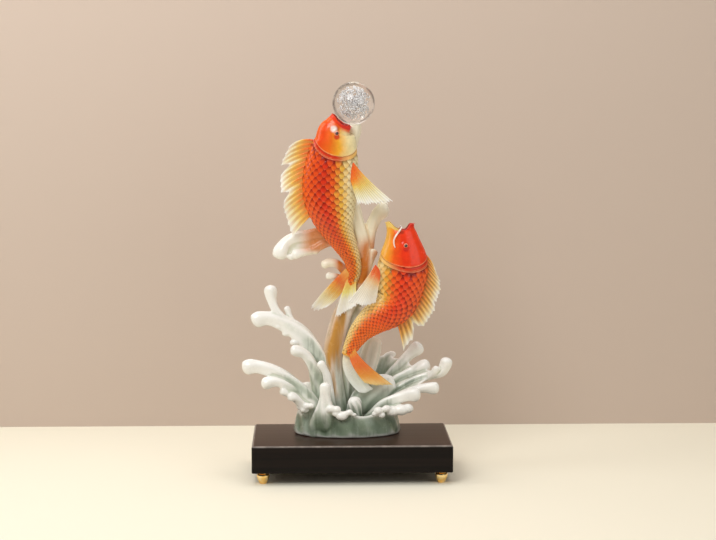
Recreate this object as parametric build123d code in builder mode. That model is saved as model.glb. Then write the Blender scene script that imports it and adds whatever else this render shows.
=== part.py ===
import os

from build123d import *

os.makedirs("parts", exist_ok=True)

# Two carp leap from a splash of water on a low plinth, the upper one under a loose crystal ball.
# +X is to the viewer's right, +Y runs away from the viewer and +Z is up. The origin lies on the
# floor under the middle of the plinth. All sizes are millimetres.

# Plinth and what stands under it
plinth_length = 233
plinth_depth = 135
plinth_height = 32
plinth_corner = 3
plinth_top_round = 4
plinth_foot_round = 1
foot_height = 14
foot_diameter = 15
foot_neck_diameter = 10
foot_neck_height = 2.5
foot_flat_diameter = 9
foot_inset = 13
foot_screw_diameter = 3
foot_screw_length = 24
foot_screw_head_diameter = 6
foot_screw_head_height = 2
foot_screw_recess = 1

# Wave base
base_length = 128
base_depth = 80
base_height = 30.5
base_centre_x = -4.5
base_centre_y = 14
base_screw_diameter = 4
base_screw_grip = 11.5
base_screw_head_diameter = 8
base_screw_head_height = 3
base_screw_spacing = 34

# Reach, depth and rise of the low splashes, which the rows of shares below follow
splash_reach = 120
splash_depth = 40
splash_rise = 140
# How far below the plinth's top the places in the figure have their zero
figure_sink = 2.5
# Full width of a splash's limb, which each limb's width and depth shares follow
limb_size = 20

# Column of water, and the ball that it carries
column_rise = 400
column_width = 24
column_depth = 20
column_dowel_diameter = 5
column_dowel_length = 24
ball_diameter = 50
ball_clearance = 0.3
seat_diameter = 18
seat_height = 9

# Carp
upper_carp_length = 214
upper_carp_height = 61
upper_carp_width = 35
upper_carp_x = -2.5
upper_carp_y = 24
upper_carp_z = 177
lower_carp_length = 190
lower_carp_height = 64
lower_carp_width = 36
lower_carp_x = -5
lower_carp_y = 2
lower_carp_z = 96.5
fin_thickness = 2.4
eye_diameter = 6.4
barbel_diameter = 2.4
carp_pin_diameter = 4
carp_pin_length = 20
mouth_width = 20
mouth_depth = 15

# One length for every cut that runs past what it cuts
overrun = 5

deck = foot_height + plinth_height
figure_floor = deck - figure_sink
foot_x = plinth_length / 2 - foot_inset
foot_y = plinth_depth / 2 - foot_inset
feet = {
    "front_left": (-foot_x, -foot_y),
    "front_right": (foot_x, -foot_y),
    "rear_left": (-foot_x, foot_y),
    "rear_right": (foot_x, foot_y),
}


def save(piece, name):
    piece.label = name
    export_step(piece, f"parts/{name}.step")


# A place among the low splashes, from shares of their reach, depth and rise
def in_splash(x_share, y_share, z_share):
    return Vector(x_share * splash_reach, y_share * splash_depth, figure_floor + z_share * splash_rise)


# A place along the column of water and the splashes that leave it
def on_column(x_share, y_share, z_share):
    return Vector(x_share * splash_reach, y_share * splash_depth, figure_floor + z_share * column_rise)


# Planes square to a route, each with its swell. The sketch's X lies across the route in the
# picture's plane and its Y along the depth.
def sections_along(rows, place):
    points = [place(x, y, z) for x, y, z, swell in rows]
    swells = [swell for x, y, z, swell in rows]
    last = len(points) - 1
    sections = []
    for index, point in enumerate(points):
        heading = (points[min(index + 1, last)] - points[max(index - 1, 0)]).normalized()
        side = Vector(0, 1, 0).cross(heading).normalized()
        sections.append((Plane(origin=point, x_dir=side, z_dir=heading), swells[index]))
    return sections


# Steps past the last section of a limb, as shares of its radius, that close it in a round tip
round_tip_shares = [(0.5, 0.87), (0.87, 0.5), (0.98, 0.2)]


def with_round_tip(sections, depth):
    plane, swell = sections[-1]
    closed = list(sections)
    for ahead_share, narrow_share in round_tip_shares:
        step = plane.offset(ahead_share * swell * depth / 2)
        closed.append((step, narrow_share * swell))
    return closed


def lofted(sections, width, depth):
    with BuildPart() as shape:
        for plane, swell in sections:
            with BuildSketch(plane):
                Ellipse(swell * width / 2, swell * depth / 2)
        loft(ruled=True)
    return shape.part


# A limb of water from its root to a round tip
def limb(rows, width, depth, place=in_splash):
    sections = sections_along(rows, place)
    return lofted(with_round_tip(sections, depth), width, depth)


# Whatever earlier pieces reach into the space of a shape, which is then cut to fit them
def near(shape, others):
    box = shape.bounding_box()
    found = []
    for other in others:
        bounds = other.bounding_box()
        apart = [
            bounds.min.X > box.max.X, bounds.max.X < box.min.X,
            bounds.min.Y > box.max.Y, bounds.max.Y < box.min.Y,
            bounds.min.Z > box.max.Z, bounds.max.Z < box.min.Z,
        ]
        if not any(apart):
            found.append(other)
    return found


def fitted(limbs, others, place=in_splash):
    with BuildPart() as casting:
        for rows, width_share, depth_share in limbs:
            add(limb(rows, width_share * limb_size, depth_share * limb_size, place))
        for other in near(casting.part, others):
            add(other, mode=Mode.SUBTRACT)
    return casting.part


# The plinth stands on four bun feet. Each foot is held by a screw from below, and three screws
# rise through the plinth into the wave base.
base_screw_x = [base_centre_x - base_screw_spacing, base_centre_x, base_centre_x + base_screw_spacing]
plinth_bottom = Plane.XY.offset(foot_height)
foot_screw_grip = foot_screw_length - (foot_height - foot_screw_recess - foot_screw_head_height)

with BuildPart() as plinth:
    with BuildSketch(plinth_bottom):
        RectangleRounded(plinth_length, plinth_depth, plinth_corner)
    extrude(amount=plinth_height)
    fillet(plinth.faces().sort_by(Axis.Z)[-1].edges(), plinth_top_round)
    fillet(plinth.faces().sort_by(Axis.Z)[0].edges(), plinth_foot_round)
    with BuildSketch(plinth_bottom):
        with Locations(*feet.values()):
            Circle(foot_screw_diameter / 2)
    extrude(amount=foot_screw_grip, mode=Mode.SUBTRACT)
    for screw_x in base_screw_x:
        with Locations(Plane(origin=(screw_x, base_centre_y, foot_height), z_dir=(0, 0, -1))):
            CounterBoreHole(
                base_screw_diameter / 2,
                base_screw_head_diameter / 2,
                base_screw_head_height,
                plinth_height,
            )
save(plinth.part, "plinth")

for corner, (x, y) in feet.items():
    with BuildPart() as foot:
        with BuildSketch(Plane(origin=(x, y, 0), x_dir=(1, 0, 0), z_dir=(0, -1, 0))):
            with BuildLine():
                Line((0, 0), (foot_flat_diameter / 2, 0))
                ThreePointArc(
                    (foot_flat_diameter / 2, 0),
                    (foot_diameter / 2, (foot_height - foot_neck_height) / 2),
                    (foot_neck_diameter / 2, foot_height - foot_neck_height),
                )
                Polyline(
                    (foot_neck_diameter / 2, foot_height - foot_neck_height),
                    (foot_neck_diameter / 2, foot_height),
                    (0, foot_height),
                    (0, 0),
                )
            make_face()
        revolve(axis=Axis((x, y, 0), (0, 0, 1)))
        with Locations(Plane(origin=(x, y, 0), z_dir=(0, 0, -1))):
            CounterBoreHole(
                foot_screw_diameter / 2,
                foot_screw_head_diameter / 2,
                foot_screw_recess + foot_screw_head_height,
                foot_height,
            )
    save(foot.part, f"foot_{corner}")

with BuildPart() as foot_screws:
    with BuildSketch(Plane.XY.offset(foot_screw_recess)):
        with Locations(*feet.values()):
            Circle(foot_screw_head_diameter / 2)
    extrude(amount=foot_screw_head_height)
    with BuildSketch(Plane.XY.offset(foot_screw_recess + foot_screw_head_height)):
        with Locations(*feet.values()):
            Circle(foot_screw_diameter / 2)
    extrude(amount=foot_screw_length)
save(foot_screws.part, "foot_screws")

with BuildPart() as base_screws:
    with BuildSketch(plinth_bottom):
        with Locations(*[(screw_x, base_centre_y) for screw_x in base_screw_x]):
            Circle(base_screw_head_diameter / 2)
    extrude(amount=base_screw_head_height)
    with BuildSketch(plinth_bottom.offset(base_screw_head_height)):
        with Locations(*[(screw_x, base_centre_y) for screw_x in base_screw_x]):
            Circle(base_screw_diameter / 2)
    extrude(amount=plinth_height - base_screw_head_height + base_screw_grip)
save(base_screws.part, "base_screws")

# Column of water, in two castings that a dowel joins. It rises behind both carp, from a socket
# in the wave base to the ball's seat: x, y and z shares, then swell.
column_shares = [
    (-0.13, 0.40, 0.045, 1.15),
    (-0.16, 0.42, 0.11, 0.95),
    (-0.185, 0.50, 0.20, 0.85),
    (-0.15, 0.60, 0.28, 0.85),
    (-0.05, 0.72, 0.37, 0.90),
    (0.07, 0.80, 0.44, 0.85),
    (0.13, 0.80, 0.51, 0.75),
    (0.11, 0.78, 0.58, 0.70),
    (0.04, 0.76, 0.66, 0.68),
    (-0.02, 0.74, 0.76, 0.62),
    (0.00, 0.66, 0.85, 0.60),
    (0.03, 0.52, 0.905, 0.68),
]
column_split = 6
column_sections = sections_along(column_shares, on_column)
split_plane = column_sections[column_split][0]
column_end = column_sections[-1][0].origin

with BuildPart() as column_dowel:
    with BuildSketch(split_plane):
        Circle(column_dowel_diameter / 2)
    extrude(amount=column_dowel_length / 2, both=True)
save(column_dowel.part, "column_dowel")

# The crystal ball lies loose in a dished seat on top of the column, clear of the upper snout.
seat_floor = column_end.Z
seat_top = seat_floor + seat_height
ball_radius = ball_diameter / 2
dish_drop = ball_radius - ((ball_radius**2 - (seat_diameter / 2) ** 2) ** 0.5)
ball_centre = Vector(column_end.X, column_end.Y, seat_top - dish_drop + ball_clearance + ball_radius)

with BuildPart() as crystal_ball:
    with Locations(ball_centre):
        Sphere(ball_radius)
save(crystal_ball.part, "crystal_ball")

with BuildPart() as ball_room:
    with Locations(ball_centre):
        Sphere(ball_radius + ball_clearance)

# Carp bodies: centre line from the root of the tail to the lips, as shares of the carp's
# length across, away from the viewer and up, then the shares of its full height and width.
upper_carp_shares = [
    (0.000, 0.000, 0.000, 0.20, 0.26),
    (0.028, 0.000, 0.079, 0.31, 0.36),
    (0.007, -0.008, 0.154, 0.41, 0.50),
    (-0.037, -0.018, 0.229, 0.54, 0.66),
    (-0.082, -0.030, 0.311, 0.68, 0.84),
    (-0.105, -0.040, 0.395, 0.84, 0.97),
    (-0.114, -0.045, 0.498, 0.98, 1.00),
    (-0.112, -0.050, 0.610, 1.00, 0.98),
    (-0.094, -0.060, 0.720, 0.94, 0.90),
    (-0.065, -0.075, 0.808, 0.84, 0.76),
    (-0.051, -0.086, 0.880, 0.62, 0.58),
    (-0.051, -0.094, 0.935, 0.40, 0.40),
    (-0.054, -0.098, 0.962, 0.20, 0.22),
]
lower_carp_shares = [
    (0.000, 0.000, 0.000, 0.19, 0.26),
    (0.034, 0.008, 0.068, 0.30, 0.36),
    (0.097, 0.016, 0.150, 0.46, 0.52),
    (0.184, 0.024, 0.213, 0.68, 0.72),
    (0.282, 0.032, 0.261, 0.78, 0.86),
    (0.340, 0.036, 0.332, 0.90, 0.97),
    (0.358, 0.036, 0.442, 1.00, 1.00),
    (0.363, 0.036, 0.547, 1.00, 0.97),
    (0.361, 0.034, 0.632, 0.89, 0.88),
    (0.361, 0.032, 0.724, 0.71, 0.72),
    (0.350, 0.032, 0.785, 0.58, 0.60),
    (0.337, 0.032, 0.832, 0.44, 0.50),
]


def on_carp(root, length, x_share, y_share, z_share):
    return root + Vector(x_share * length, y_share * length, z_share * length)


def carp_body(rows, root, length, height, width):
    spine = [(x, y, z, 1) for x, y, z, tall, thick in rows]
    planes = sections_along(spine, lambda x, y, z: on_carp(root, length, x, y, z))
    with BuildPart() as body:
        for (plane, swell), (x, y, z, tall, thick) in zip(planes, rows):
            with BuildSketch(plane):
                Ellipse(tall * height / 2, thick * width / 2)
        loft()
    return body.part


# A fin is a plate in a plane turned about the upright through the carp's tail root. Its outline
# runs along the root inside the body, then from tip to tip with a notch between each pair.
def fin_plane(root, length, x_share, y_share, turn):
    across = Vector(1, 0, 0).rotate(Axis.Z, turn)
    origin = root + Vector(x_share * length, y_share * length, 0)
    return Plane(origin=origin, x_dir=across, z_dir=across.cross(Vector(0, 0, 1)))


notch_share = 0.10


def fin(plane, root_shares, length, tip_shares, leading_shares=(), trailing_shares=()):
    inner = Vector(*root_shares[len(root_shares) // 2])
    outline = [Vector(*point) for point in (*root_shares, *leading_shares)]
    tips = [Vector(*point) for point in tip_shares]
    for tip, following in zip(tips, tips[1:]):
        notch = (tip + following) / 2
        outline += [tip, notch + (inner - notch) * notch_share]
    outline += [tips[-1], *[Vector(*point) for point in trailing_shares]]
    with BuildPart() as plate:
        with BuildSketch(plane):
            with BuildLine():
                Polyline(*[point * length for point in outline], close=True)
            make_face()
        extrude(amount=fin_thickness / 2, both=True)
    return plate.part


upper_root = Vector(upper_carp_x, upper_carp_y, figure_floor + upper_carp_z)
lower_root = Vector(lower_carp_x, lower_carp_y, figure_floor + lower_carp_z)


# Eyes: a middle between the two as shares of the length, and how far out as a share of the width
upper_eye_shares = (-0.058, -0.084, 0.866)
upper_eye_out_share = 0.60
lower_eye_shares = (0.363, 0.033, 0.700)
lower_eye_out_share = 0.76


def eye_places(root, length, width, middle_shares, out_share):
    centre = on_carp(root, length, *middle_shares)
    out = Vector(0, out_share * width / 2, 0)
    return [centre - out, centre + out]


upper_eyes = eye_places(
    upper_root, upper_carp_length, upper_carp_width, upper_eye_shares, upper_eye_out_share
)
lower_eyes = eye_places(
    lower_root, lower_carp_length, lower_carp_width, lower_eye_shares, lower_eye_out_share
)

for carp, places in {"upper": upper_eyes, "lower": lower_eyes}.items():
    with BuildPart() as eyes:
        with Locations(*places):
            Sphere(eye_diameter / 2)
    save(eyes.part, f"{carp}_carp_eyes")

# A wave behind the lower carp carries its flank from the column.
support_shares = [
    (0.06, 0.80, 0.420, 1.0),
    (0.20, 0.78, 0.415, 0.9),
    (0.33, 0.62, 0.440, 0.9),
]

# Steel pins hold each carp: the upper one to the column and the lower one to its support.
upper_flank = on_carp(upper_root, upper_carp_length, *upper_carp_shares[6][:3])
lower_flank = on_carp(lower_root, lower_carp_length, *lower_carp_shares[6][:3])
upper_hold = on_column(*column_shares[9][:3])
lower_hold = on_column(*support_shares[2][:3])
pin_place_share = 0.3
pin_planes = [
    Plane(origin=upper_hold + (upper_flank - upper_hold) * pin_place_share, z_dir=upper_flank - upper_hold),
    Plane(origin=lower_hold, z_dir=lower_flank - lower_hold),
]

with BuildPart() as carp_pins:
    for pin_plane in pin_planes:
        with BuildSketch(pin_plane):
            Circle(carp_pin_diameter / 2)
        extrude(amount=carp_pin_length / 2, both=True)
save(carp_pins.part, "carp_pins")

# Upper carp
with BuildPart() as upper_body:
    add(carp_body(upper_carp_shares, upper_root, upper_carp_length, upper_carp_height, upper_carp_width))
    add(ball_room.part, mode=Mode.SUBTRACT)
    add(carp_pins.part, mode=Mode.SUBTRACT)
    with Locations(*upper_eyes):
        Sphere(eye_diameter / 2, mode=Mode.SUBTRACT)
save(upper_body.part, "upper_carp_body")

# Lower carp, with its mouth open upward: a cavity that narrows down the throat and a notch
# between the lips
lip_plane = sections_along([(x, y, z, 1) for x, y, z, tall, thick in lower_carp_shares],
                           lambda x, y, z: on_carp(lower_root, lower_carp_length, x, y, z))[-1][0]
throat_share = 0.35
with BuildPart() as mouth:
    for step, swell in {-mouth_depth: throat_share, 0: 1, overrun: 1}.items():
        with BuildSketch(lip_plane.offset(step)):
            Ellipse(swell * mouth_width / 2, swell * mouth_depth / 2)
    loft()
    with BuildSketch(Plane(origin=lip_plane.origin, x_dir=lip_plane.x_dir, z_dir=-lip_plane.y_dir)):
        Polygon(
            (-mouth_width / 2, overrun),
            (mouth_width / 2, overrun),
            (0, -mouth_depth / 2),
            align=None,
        )
    extrude(amount=lower_carp_width, both=True)

with BuildPart() as lower_body:
    add(carp_body(lower_carp_shares, lower_root, lower_carp_length, lower_carp_height, lower_carp_width))
    add(mouth.part, mode=Mode.SUBTRACT)
    add(carp_pins.part, mode=Mode.SUBTRACT)
    with Locations(*lower_eyes):
        Sphere(eye_diameter / 2, mode=Mode.SUBTRACT)
save(lower_body.part, "lower_carp_body")

# Fins of the upper carp: where each plane stands, as shares of the carp's length, and its turn
upper_fins = {
    "dorsal_fin": fin(
        fin_plane(upper_root, upper_carp_length, x_share=0, y_share=-0.045, turn=0),
        [(-0.119, 0.839), (-0.175, 0.699), (-0.194, 0.558), (-0.166, 0.428), (-0.140, 0.371)],
        upper_carp_length,
        tip_shares=[
            (-0.297, 0.259), (-0.311, 0.353), (-0.339, 0.432), (-0.362, 0.507),
            (-0.367, 0.605), (-0.362, 0.685), (-0.320, 0.764), (-0.222, 0.848),
        ],
    ),
    "near_pectoral_fin": fin(
        fin_plane(upper_root, upper_carp_length, x_share=0, y_share=-0.103, turn=-20),
        [(-0.027, 0.689), (-0.037, 0.628), (-0.027, 0.582)],
        upper_carp_length,
        tip_shares=[
            (0.052, 0.488), (0.112, 0.474), (0.162, 0.488), (0.226, 0.479), (0.276, 0.484),
        ],
        trailing_shares=[(0.162, 0.582), (0.072, 0.661)],
    ),
    "far_pectoral_fin": fin(
        fin_plane(upper_root, upper_carp_length, x_share=-0.045, y_share=0.010, turn=130),
        [(-0.010, 0.689), (-0.020, 0.640), (-0.010, 0.590)],
        upper_carp_length,
        tip_shares=[(0.050, 0.500), (0.100, 0.490), (0.150, 0.500), (0.190, 0.520)],
        trailing_shares=[(0.140, 0.600), (0.070, 0.660)],
    ),
    "tail_fin_near": fin(
        fin_plane(upper_root, upper_carp_length, x_share=0, y_share=-0.012, turn=0),
        [(0.010, 0.030), (0.000, 0.060), (-0.012, 0.030)],
        upper_carp_length,
        leading_shares=[(-0.044, 0.000), (-0.129, -0.058)],
        tip_shares=[(-0.208, -0.138), (-0.166, -0.146), (-0.100, -0.118)],
        trailing_shares=[(-0.060, -0.090), (0.000, -0.030)],
    ),
    "tail_fin_far": fin(
        fin_plane(upper_root, upper_carp_length, x_share=0, y_share=0.012, turn=0),
        [(0.020, 0.050), (0.000, 0.060), (-0.010, 0.020)],
        upper_carp_length,
        leading_shares=[(-0.040, -0.060)],
        tip_shares=[(-0.072, -0.171), (-0.026, -0.178), (0.021, -0.120)],
        trailing_shares=[(0.049, -0.040), (0.045, 0.000)],
    ),
}

# Fins of the lower carp
lower_fins = {
    "dorsal_fin": fin(
        fin_plane(lower_root, lower_carp_length, x_share=0, y_share=0.034, turn=0),
        [
            (0.458, 0.621), (0.484, 0.526), (0.479, 0.432),
            (0.442, 0.332), (0.374, 0.253), (0.321, 0.216),
        ],
        lower_carp_length,
        tip_shares=[
            (0.374, 0.016), (0.416, 0.084), (0.484, 0.179), (0.542, 0.274),
            (0.574, 0.368), (0.579, 0.453), (0.537, 0.558),
        ],
    ),
    "near_pectoral_fin": fin(
        fin_plane(lower_root, lower_carp_length, x_share=0.184, y_share=-0.042, turn=195),
        [(-0.033, 0.621), (-0.055, 0.553), (-0.044, 0.484)],
        lower_carp_length,
        tip_shares=[(0.027, 0.332), (0.093, 0.337), (0.169, 0.353)],
        trailing_shares=[(0.147, 0.432), (0.082, 0.516)],
    ),
    "far_pectoral_fin": fin(
        fin_plane(lower_root, lower_carp_length, x_share=0.289, y_share=0.095, turn=60),
        [(-0.030, 0.600), (-0.040, 0.530), (-0.030, 0.470)],
        lower_carp_length,
        tip_shares=[(0.050, 0.330), (0.110, 0.340), (0.170, 0.360)],
        trailing_shares=[(0.140, 0.450), (0.080, 0.540)],
    ),
    "tail_fin_near": fin(
        fin_plane(lower_root, lower_carp_length, x_share=0, y_share=-0.012, turn=0),
        [(0.047, 0.074), (0.021, 0.053), (0.011, 0.020)],
        lower_carp_length,
        leading_shares=[(0.044, -0.065)],
        tip_shares=[(0.104, -0.154), (0.153, -0.179), (0.226, -0.189), (0.292, -0.186)],
        trailing_shares=[(0.253, -0.144), (0.173, -0.105), (0.094, -0.035), (0.054, 0.014)],
    ),
    "tail_fin_far": fin(
        fin_plane(lower_root, lower_carp_length, x_share=0, y_share=0.012, turn=0),
        [(0.030, 0.050), (0.010, 0.040), (-0.010, 0.000)],
        lower_carp_length,
        leading_shares=[(0.016, -0.116)],
        tip_shares=[(0.068, -0.221), (0.132, -0.290), (0.205, -0.274), (0.268, -0.221)],
        trailing_shares=[(0.184, -0.168), (0.089, -0.105), (0.042, -0.032)],
    ),
}

# The lower carp's barbels hang from the corners of its mouth, one on each flank.
barbel_shares = [
    (0.337, -0.012, 0.800, 1.0),
    (0.316, -0.037, 0.774, 1.0),
    (0.289, -0.047, 0.742, 0.9),
    (0.289, -0.053, 0.711, 0.8),
    (0.300, -0.053, 0.679, 0.6),
]
lip_y_share = lower_carp_shares[-1][1]


def on_lower_carp(x_share, y_share, z_share):
    return on_carp(lower_root, lower_carp_length, x_share, y_share, z_share)


far_barbel_shares = [(x, 2 * lip_y_share - y, z, swell) for x, y, z, swell in barbel_shares]
with BuildPart() as barbels:
    for rows in (barbel_shares, far_barbel_shares):
        add(limb(rows, barbel_diameter, barbel_diameter, on_lower_carp))
    add(lower_body.part, mode=Mode.SUBTRACT)
    add(mouth.part, mode=Mode.SUBTRACT)
save(barbels.part, "lower_carp_barbels")

# Wave base: an oval lump, with sockets for the column and pilot holes for its screws
base_shares = [(0.00, 0.96), (0.10, 1.00), (0.45, 0.98), (0.75, 0.93), (0.92, 0.84), (1.00, 0.70)]
with BuildPart() as wave_lump:
    for rise_share, swell in base_shares:
        with BuildSketch(Plane(origin=(base_centre_x, base_centre_y, deck + rise_share * base_height))):
            Ellipse(swell * base_length / 2, swell * base_depth / 2)
    loft(ruled=True)

with BuildPart() as column_lower:
    add(lofted(column_sections[: column_split + 1], column_width, column_depth))
    add(lower_body.part, mode=Mode.SUBTRACT)
    add(upper_body.part, mode=Mode.SUBTRACT)
    add(column_dowel.part, mode=Mode.SUBTRACT)
save(column_lower.part, "column_lower")

with BuildPart() as column_upper:
    add(lofted(column_sections[column_split:], column_width, column_depth))
    add(upper_body.part, mode=Mode.SUBTRACT)
    add(column_dowel.part, mode=Mode.SUBTRACT)
    add(carp_pins.part, mode=Mode.SUBTRACT)
save(column_upper.part, "column_upper")

with BuildPart() as ball_seat:
    with BuildSketch(Plane.XY.offset(seat_floor)):
        with Locations((column_end.X, column_end.Y)):
            Circle(seat_diameter / 2)
    extrude(amount=seat_height)
    add(ball_room.part, mode=Mode.SUBTRACT)
    add(upper_body.part, mode=Mode.SUBTRACT)
    add(column_upper.part, mode=Mode.SUBTRACT)
save(ball_seat.part, "ball_seat")

with BuildPart() as wave_base:
    add(wave_lump.part)
    add(column_lower.part, mode=Mode.SUBTRACT)
    add(base_screws.part, mode=Mode.SUBTRACT)
save(wave_base.part, "wave_base")

# Low splashes, each a casting bonded to the wave base. Every limb is a row of x, y and z shares
# with its swell, then its width and depth as shares of the limb size. The first limb of a casting
# starts inside the base.
low_splash_shares = {
    "splash_high_left": [
        (
            [
                (-0.25, 0.30, 0.18, 1.45), (-0.29, 0.38, 0.36, 1.25), (-0.31, 0.45, 0.52, 1.10),
                (-0.35, 0.50, 0.66, 1.05), (-0.43, 0.55, 0.79, 1.00), (-0.56, 0.55, 0.89, 0.95),
                (-0.71, 0.55, 0.96, 0.72), (-0.86, 0.50, 0.98, 0.66), (-0.92, 0.45, 0.97, 0.66),
            ],
            1.1,
            0.75,
        ),
        (
            [
                (-0.63, 0.55, 0.92, 1.1), (-0.74, 0.60, 1.06, 0.9),
                (-0.79, 0.65, 1.16, 0.9), (-0.80, 0.65, 1.21, 1.0),
            ],
            0.65,
            0.55,
        ),
        (
            [(-0.56, 0.60, 0.92, 1.1), (-0.61, 0.66, 1.02, 0.9), (-0.64, 0.68, 1.09, 0.8)],
            0.4,
            0.35,
        ),
        (
            [
                (-0.32, 0.36, 0.48, 1.2), (-0.39, 0.22, 0.62, 1.1),
                (-0.46, 0.12, 0.70, 1.0), (-0.54, 0.05, 0.73, 0.9), (-0.59, 0.00, 0.735, 0.9),
            ],
            0.55,
            0.45,
        ),
    ],
    "splash_inner_prong": [
        (
            [
                (-0.21, 0.10, 0.20, 1.3), (-0.22, 0.02, 0.43, 1.0), (-0.26, -0.08, 0.56, 0.8),
                (-0.30, -0.14, 0.64, 0.7),
            ],
            0.5,
            0.45,
        ),
    ],
    "splash_low_left": [
        (
            [
                (-0.32, 0.00, 0.17, 1.35), (-0.46, -0.10, 0.33, 1.25), (-0.59, -0.20, 0.45, 1.10),
                (-0.73, -0.30, 0.55, 1.00), (-0.87, -0.35, 0.61, 0.95), (-0.99, -0.40, 0.63, 0.95),
                (-1.04, -0.40, 0.62, 0.90),
            ],
            0.9,
            0.65,
        ),
        (
            [
                (-0.53, -0.22, 0.34, 1.1), (-0.63, -0.40, 0.45, 1.0),
                (-0.74, -0.50, 0.50, 0.9), (-0.82, -0.55, 0.50, 0.9),
            ],
            0.65,
            0.5,
        ),
        (
            [(-0.44, -0.25, 0.26, 1.1), (-0.54, -0.45, 0.35, 1.0), (-0.61, -0.55, 0.375, 0.9)],
            0.45,
            0.4,
        ),
    ],
    "splash_rear_left": [
        (
            [(-0.36, 0.55, 0.18, 1.2), (-0.42, 0.66, 0.32, 1.0), (-0.48, 0.72, 0.42, 0.9)],
            0.85,
            0.7,
        ),
    ],
    "splash_front": [
        (
            [
                (-0.25, -0.30, 0.17, 1.5), (-0.26, -0.45, 0.29, 1.1), (-0.26, -0.55, 0.40, 0.8),
                (-0.26, -0.58, 0.48, 0.7),
            ],
            0.7,
            0.6,
        ),
    ],
    "splash_right_front": [
        (
            [
                (0.20, -0.10, 0.17, 1.3), (0.36, -0.20, 0.29, 1.0), (0.50, -0.25, 0.355, 0.9),
                (0.62, -0.30, 0.37, 0.9),
            ],
            0.6,
            0.55,
        ),
    ],
    "splash_right_short": [
        (
            [
                (0.26, 0.20, 0.18, 1.3), (0.42, 0.16, 0.30, 1.0), (0.58, 0.08, 0.375, 0.9),
                (0.70, 0.02, 0.41, 0.9), (0.79, -0.03, 0.41, 1.0),
            ],
            0.55,
            0.45,
        ),
    ],
    "splash_right_far": [
        (
            [
                (0.23, 0.50, 0.17, 1.5), (0.44, 0.52, 0.35, 1.2), (0.63, 0.50, 0.45, 1.0),
                (0.79, 0.44, 0.50, 0.9), (0.91, 0.38, 0.53, 0.9), (0.96, 0.32, 0.60, 0.9),
                (0.965, 0.30, 0.62, 1.0),
            ],
            0.65,
            0.55,
        ),
        (
            [(0.80, 0.40, 0.49, 1.0), (0.84, 0.26, 0.55, 0.9), (0.855, 0.20, 0.585, 0.8)],
            0.4,
            0.35,
        ),
    ],
    "splash_right_middle": [
        (
            [
                (0.22, 0.85, 0.17, 1.5), (0.40, 0.85, 0.39, 1.2), (0.56, 0.82, 0.49, 1.0),
                (0.69, 0.78, 0.55, 1.0), (0.73, 0.76, 0.56, 1.0),
            ],
            0.65,
            0.55,
        ),
    ],
    "splash_right_high": [
        (
            [
                (0.18, 1.12, 0.17, 1.4), (0.40, 1.14, 0.45, 1.1), (0.52, 1.10, 0.57, 1.0),
                (0.60, 1.05, 0.67, 0.9), (0.67, 1.00, 0.725, 0.95),
            ],
            0.75,
            0.55,
        ),
    ],
    "splash_right_curl": [
        (
            [
                (0.10, 0.95, 0.17, 1.4), (0.26, 1.30, 0.42, 1.0), (0.33, 1.36, 0.56, 0.9),
                (0.38, 1.38, 0.63, 0.7), (0.43, 1.38, 0.64, 0.6),
            ],
            0.6,
            0.45,
        ),
    ],
    "splash_back": [
        (
            [
                (0.06, 0.62, 0.17, 1.2), (0.14, 0.86, 0.40, 1.1), (0.19, 0.98, 0.60, 1.0),
                (0.24, 1.02, 0.74, 0.8), (0.26, 1.02, 0.80, 0.6),
            ],
            1,
            0.45,
        ),
    ],
    "foam_front": [
        (
            [
                (-0.27, -0.54, 0.22, 1.0), (-0.20, -0.66, 0.25, 1.1), (-0.11, -0.72, 0.25, 1.0),
                (-0.03, -0.70, 0.25, 0.8),
            ],
            0.65,
            0.55,
        ),
    ],
    "foam_right": [
        (
            [
                (0.20, -0.40, 0.19, 1.1), (0.27, -0.58, 0.25, 1.0), (0.36, -0.54, 0.27, 0.9),
                (0.44, -0.48, 0.265, 1.0), (0.50, -0.45, 0.26, 0.9),
            ],
            0.65,
            0.55,
        ),
    ],
    "foam_left": [
        (
            [(-0.36, -0.32, 0.18, 1.1), (-0.42, -0.48, 0.26, 1.0), (-0.47, -0.54, 0.30, 0.8)],
            0.55,
            0.45,
        ),
    ],
    "foam_middle": [
        (
            [(0.04, -0.02, 0.18, 1.2), (0.04, -0.12, 0.28, 1.1), (0.01, -0.16, 0.34, 0.8)],
            0.8,
            0.65,
        ),
    ],
}

placed = [wave_lump.part, column_lower.part, lower_body.part]
for name, limbs in low_splash_shares.items():
    casting = fitted(limbs, placed)
    placed.append(casting)
    save(casting, name)

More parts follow.
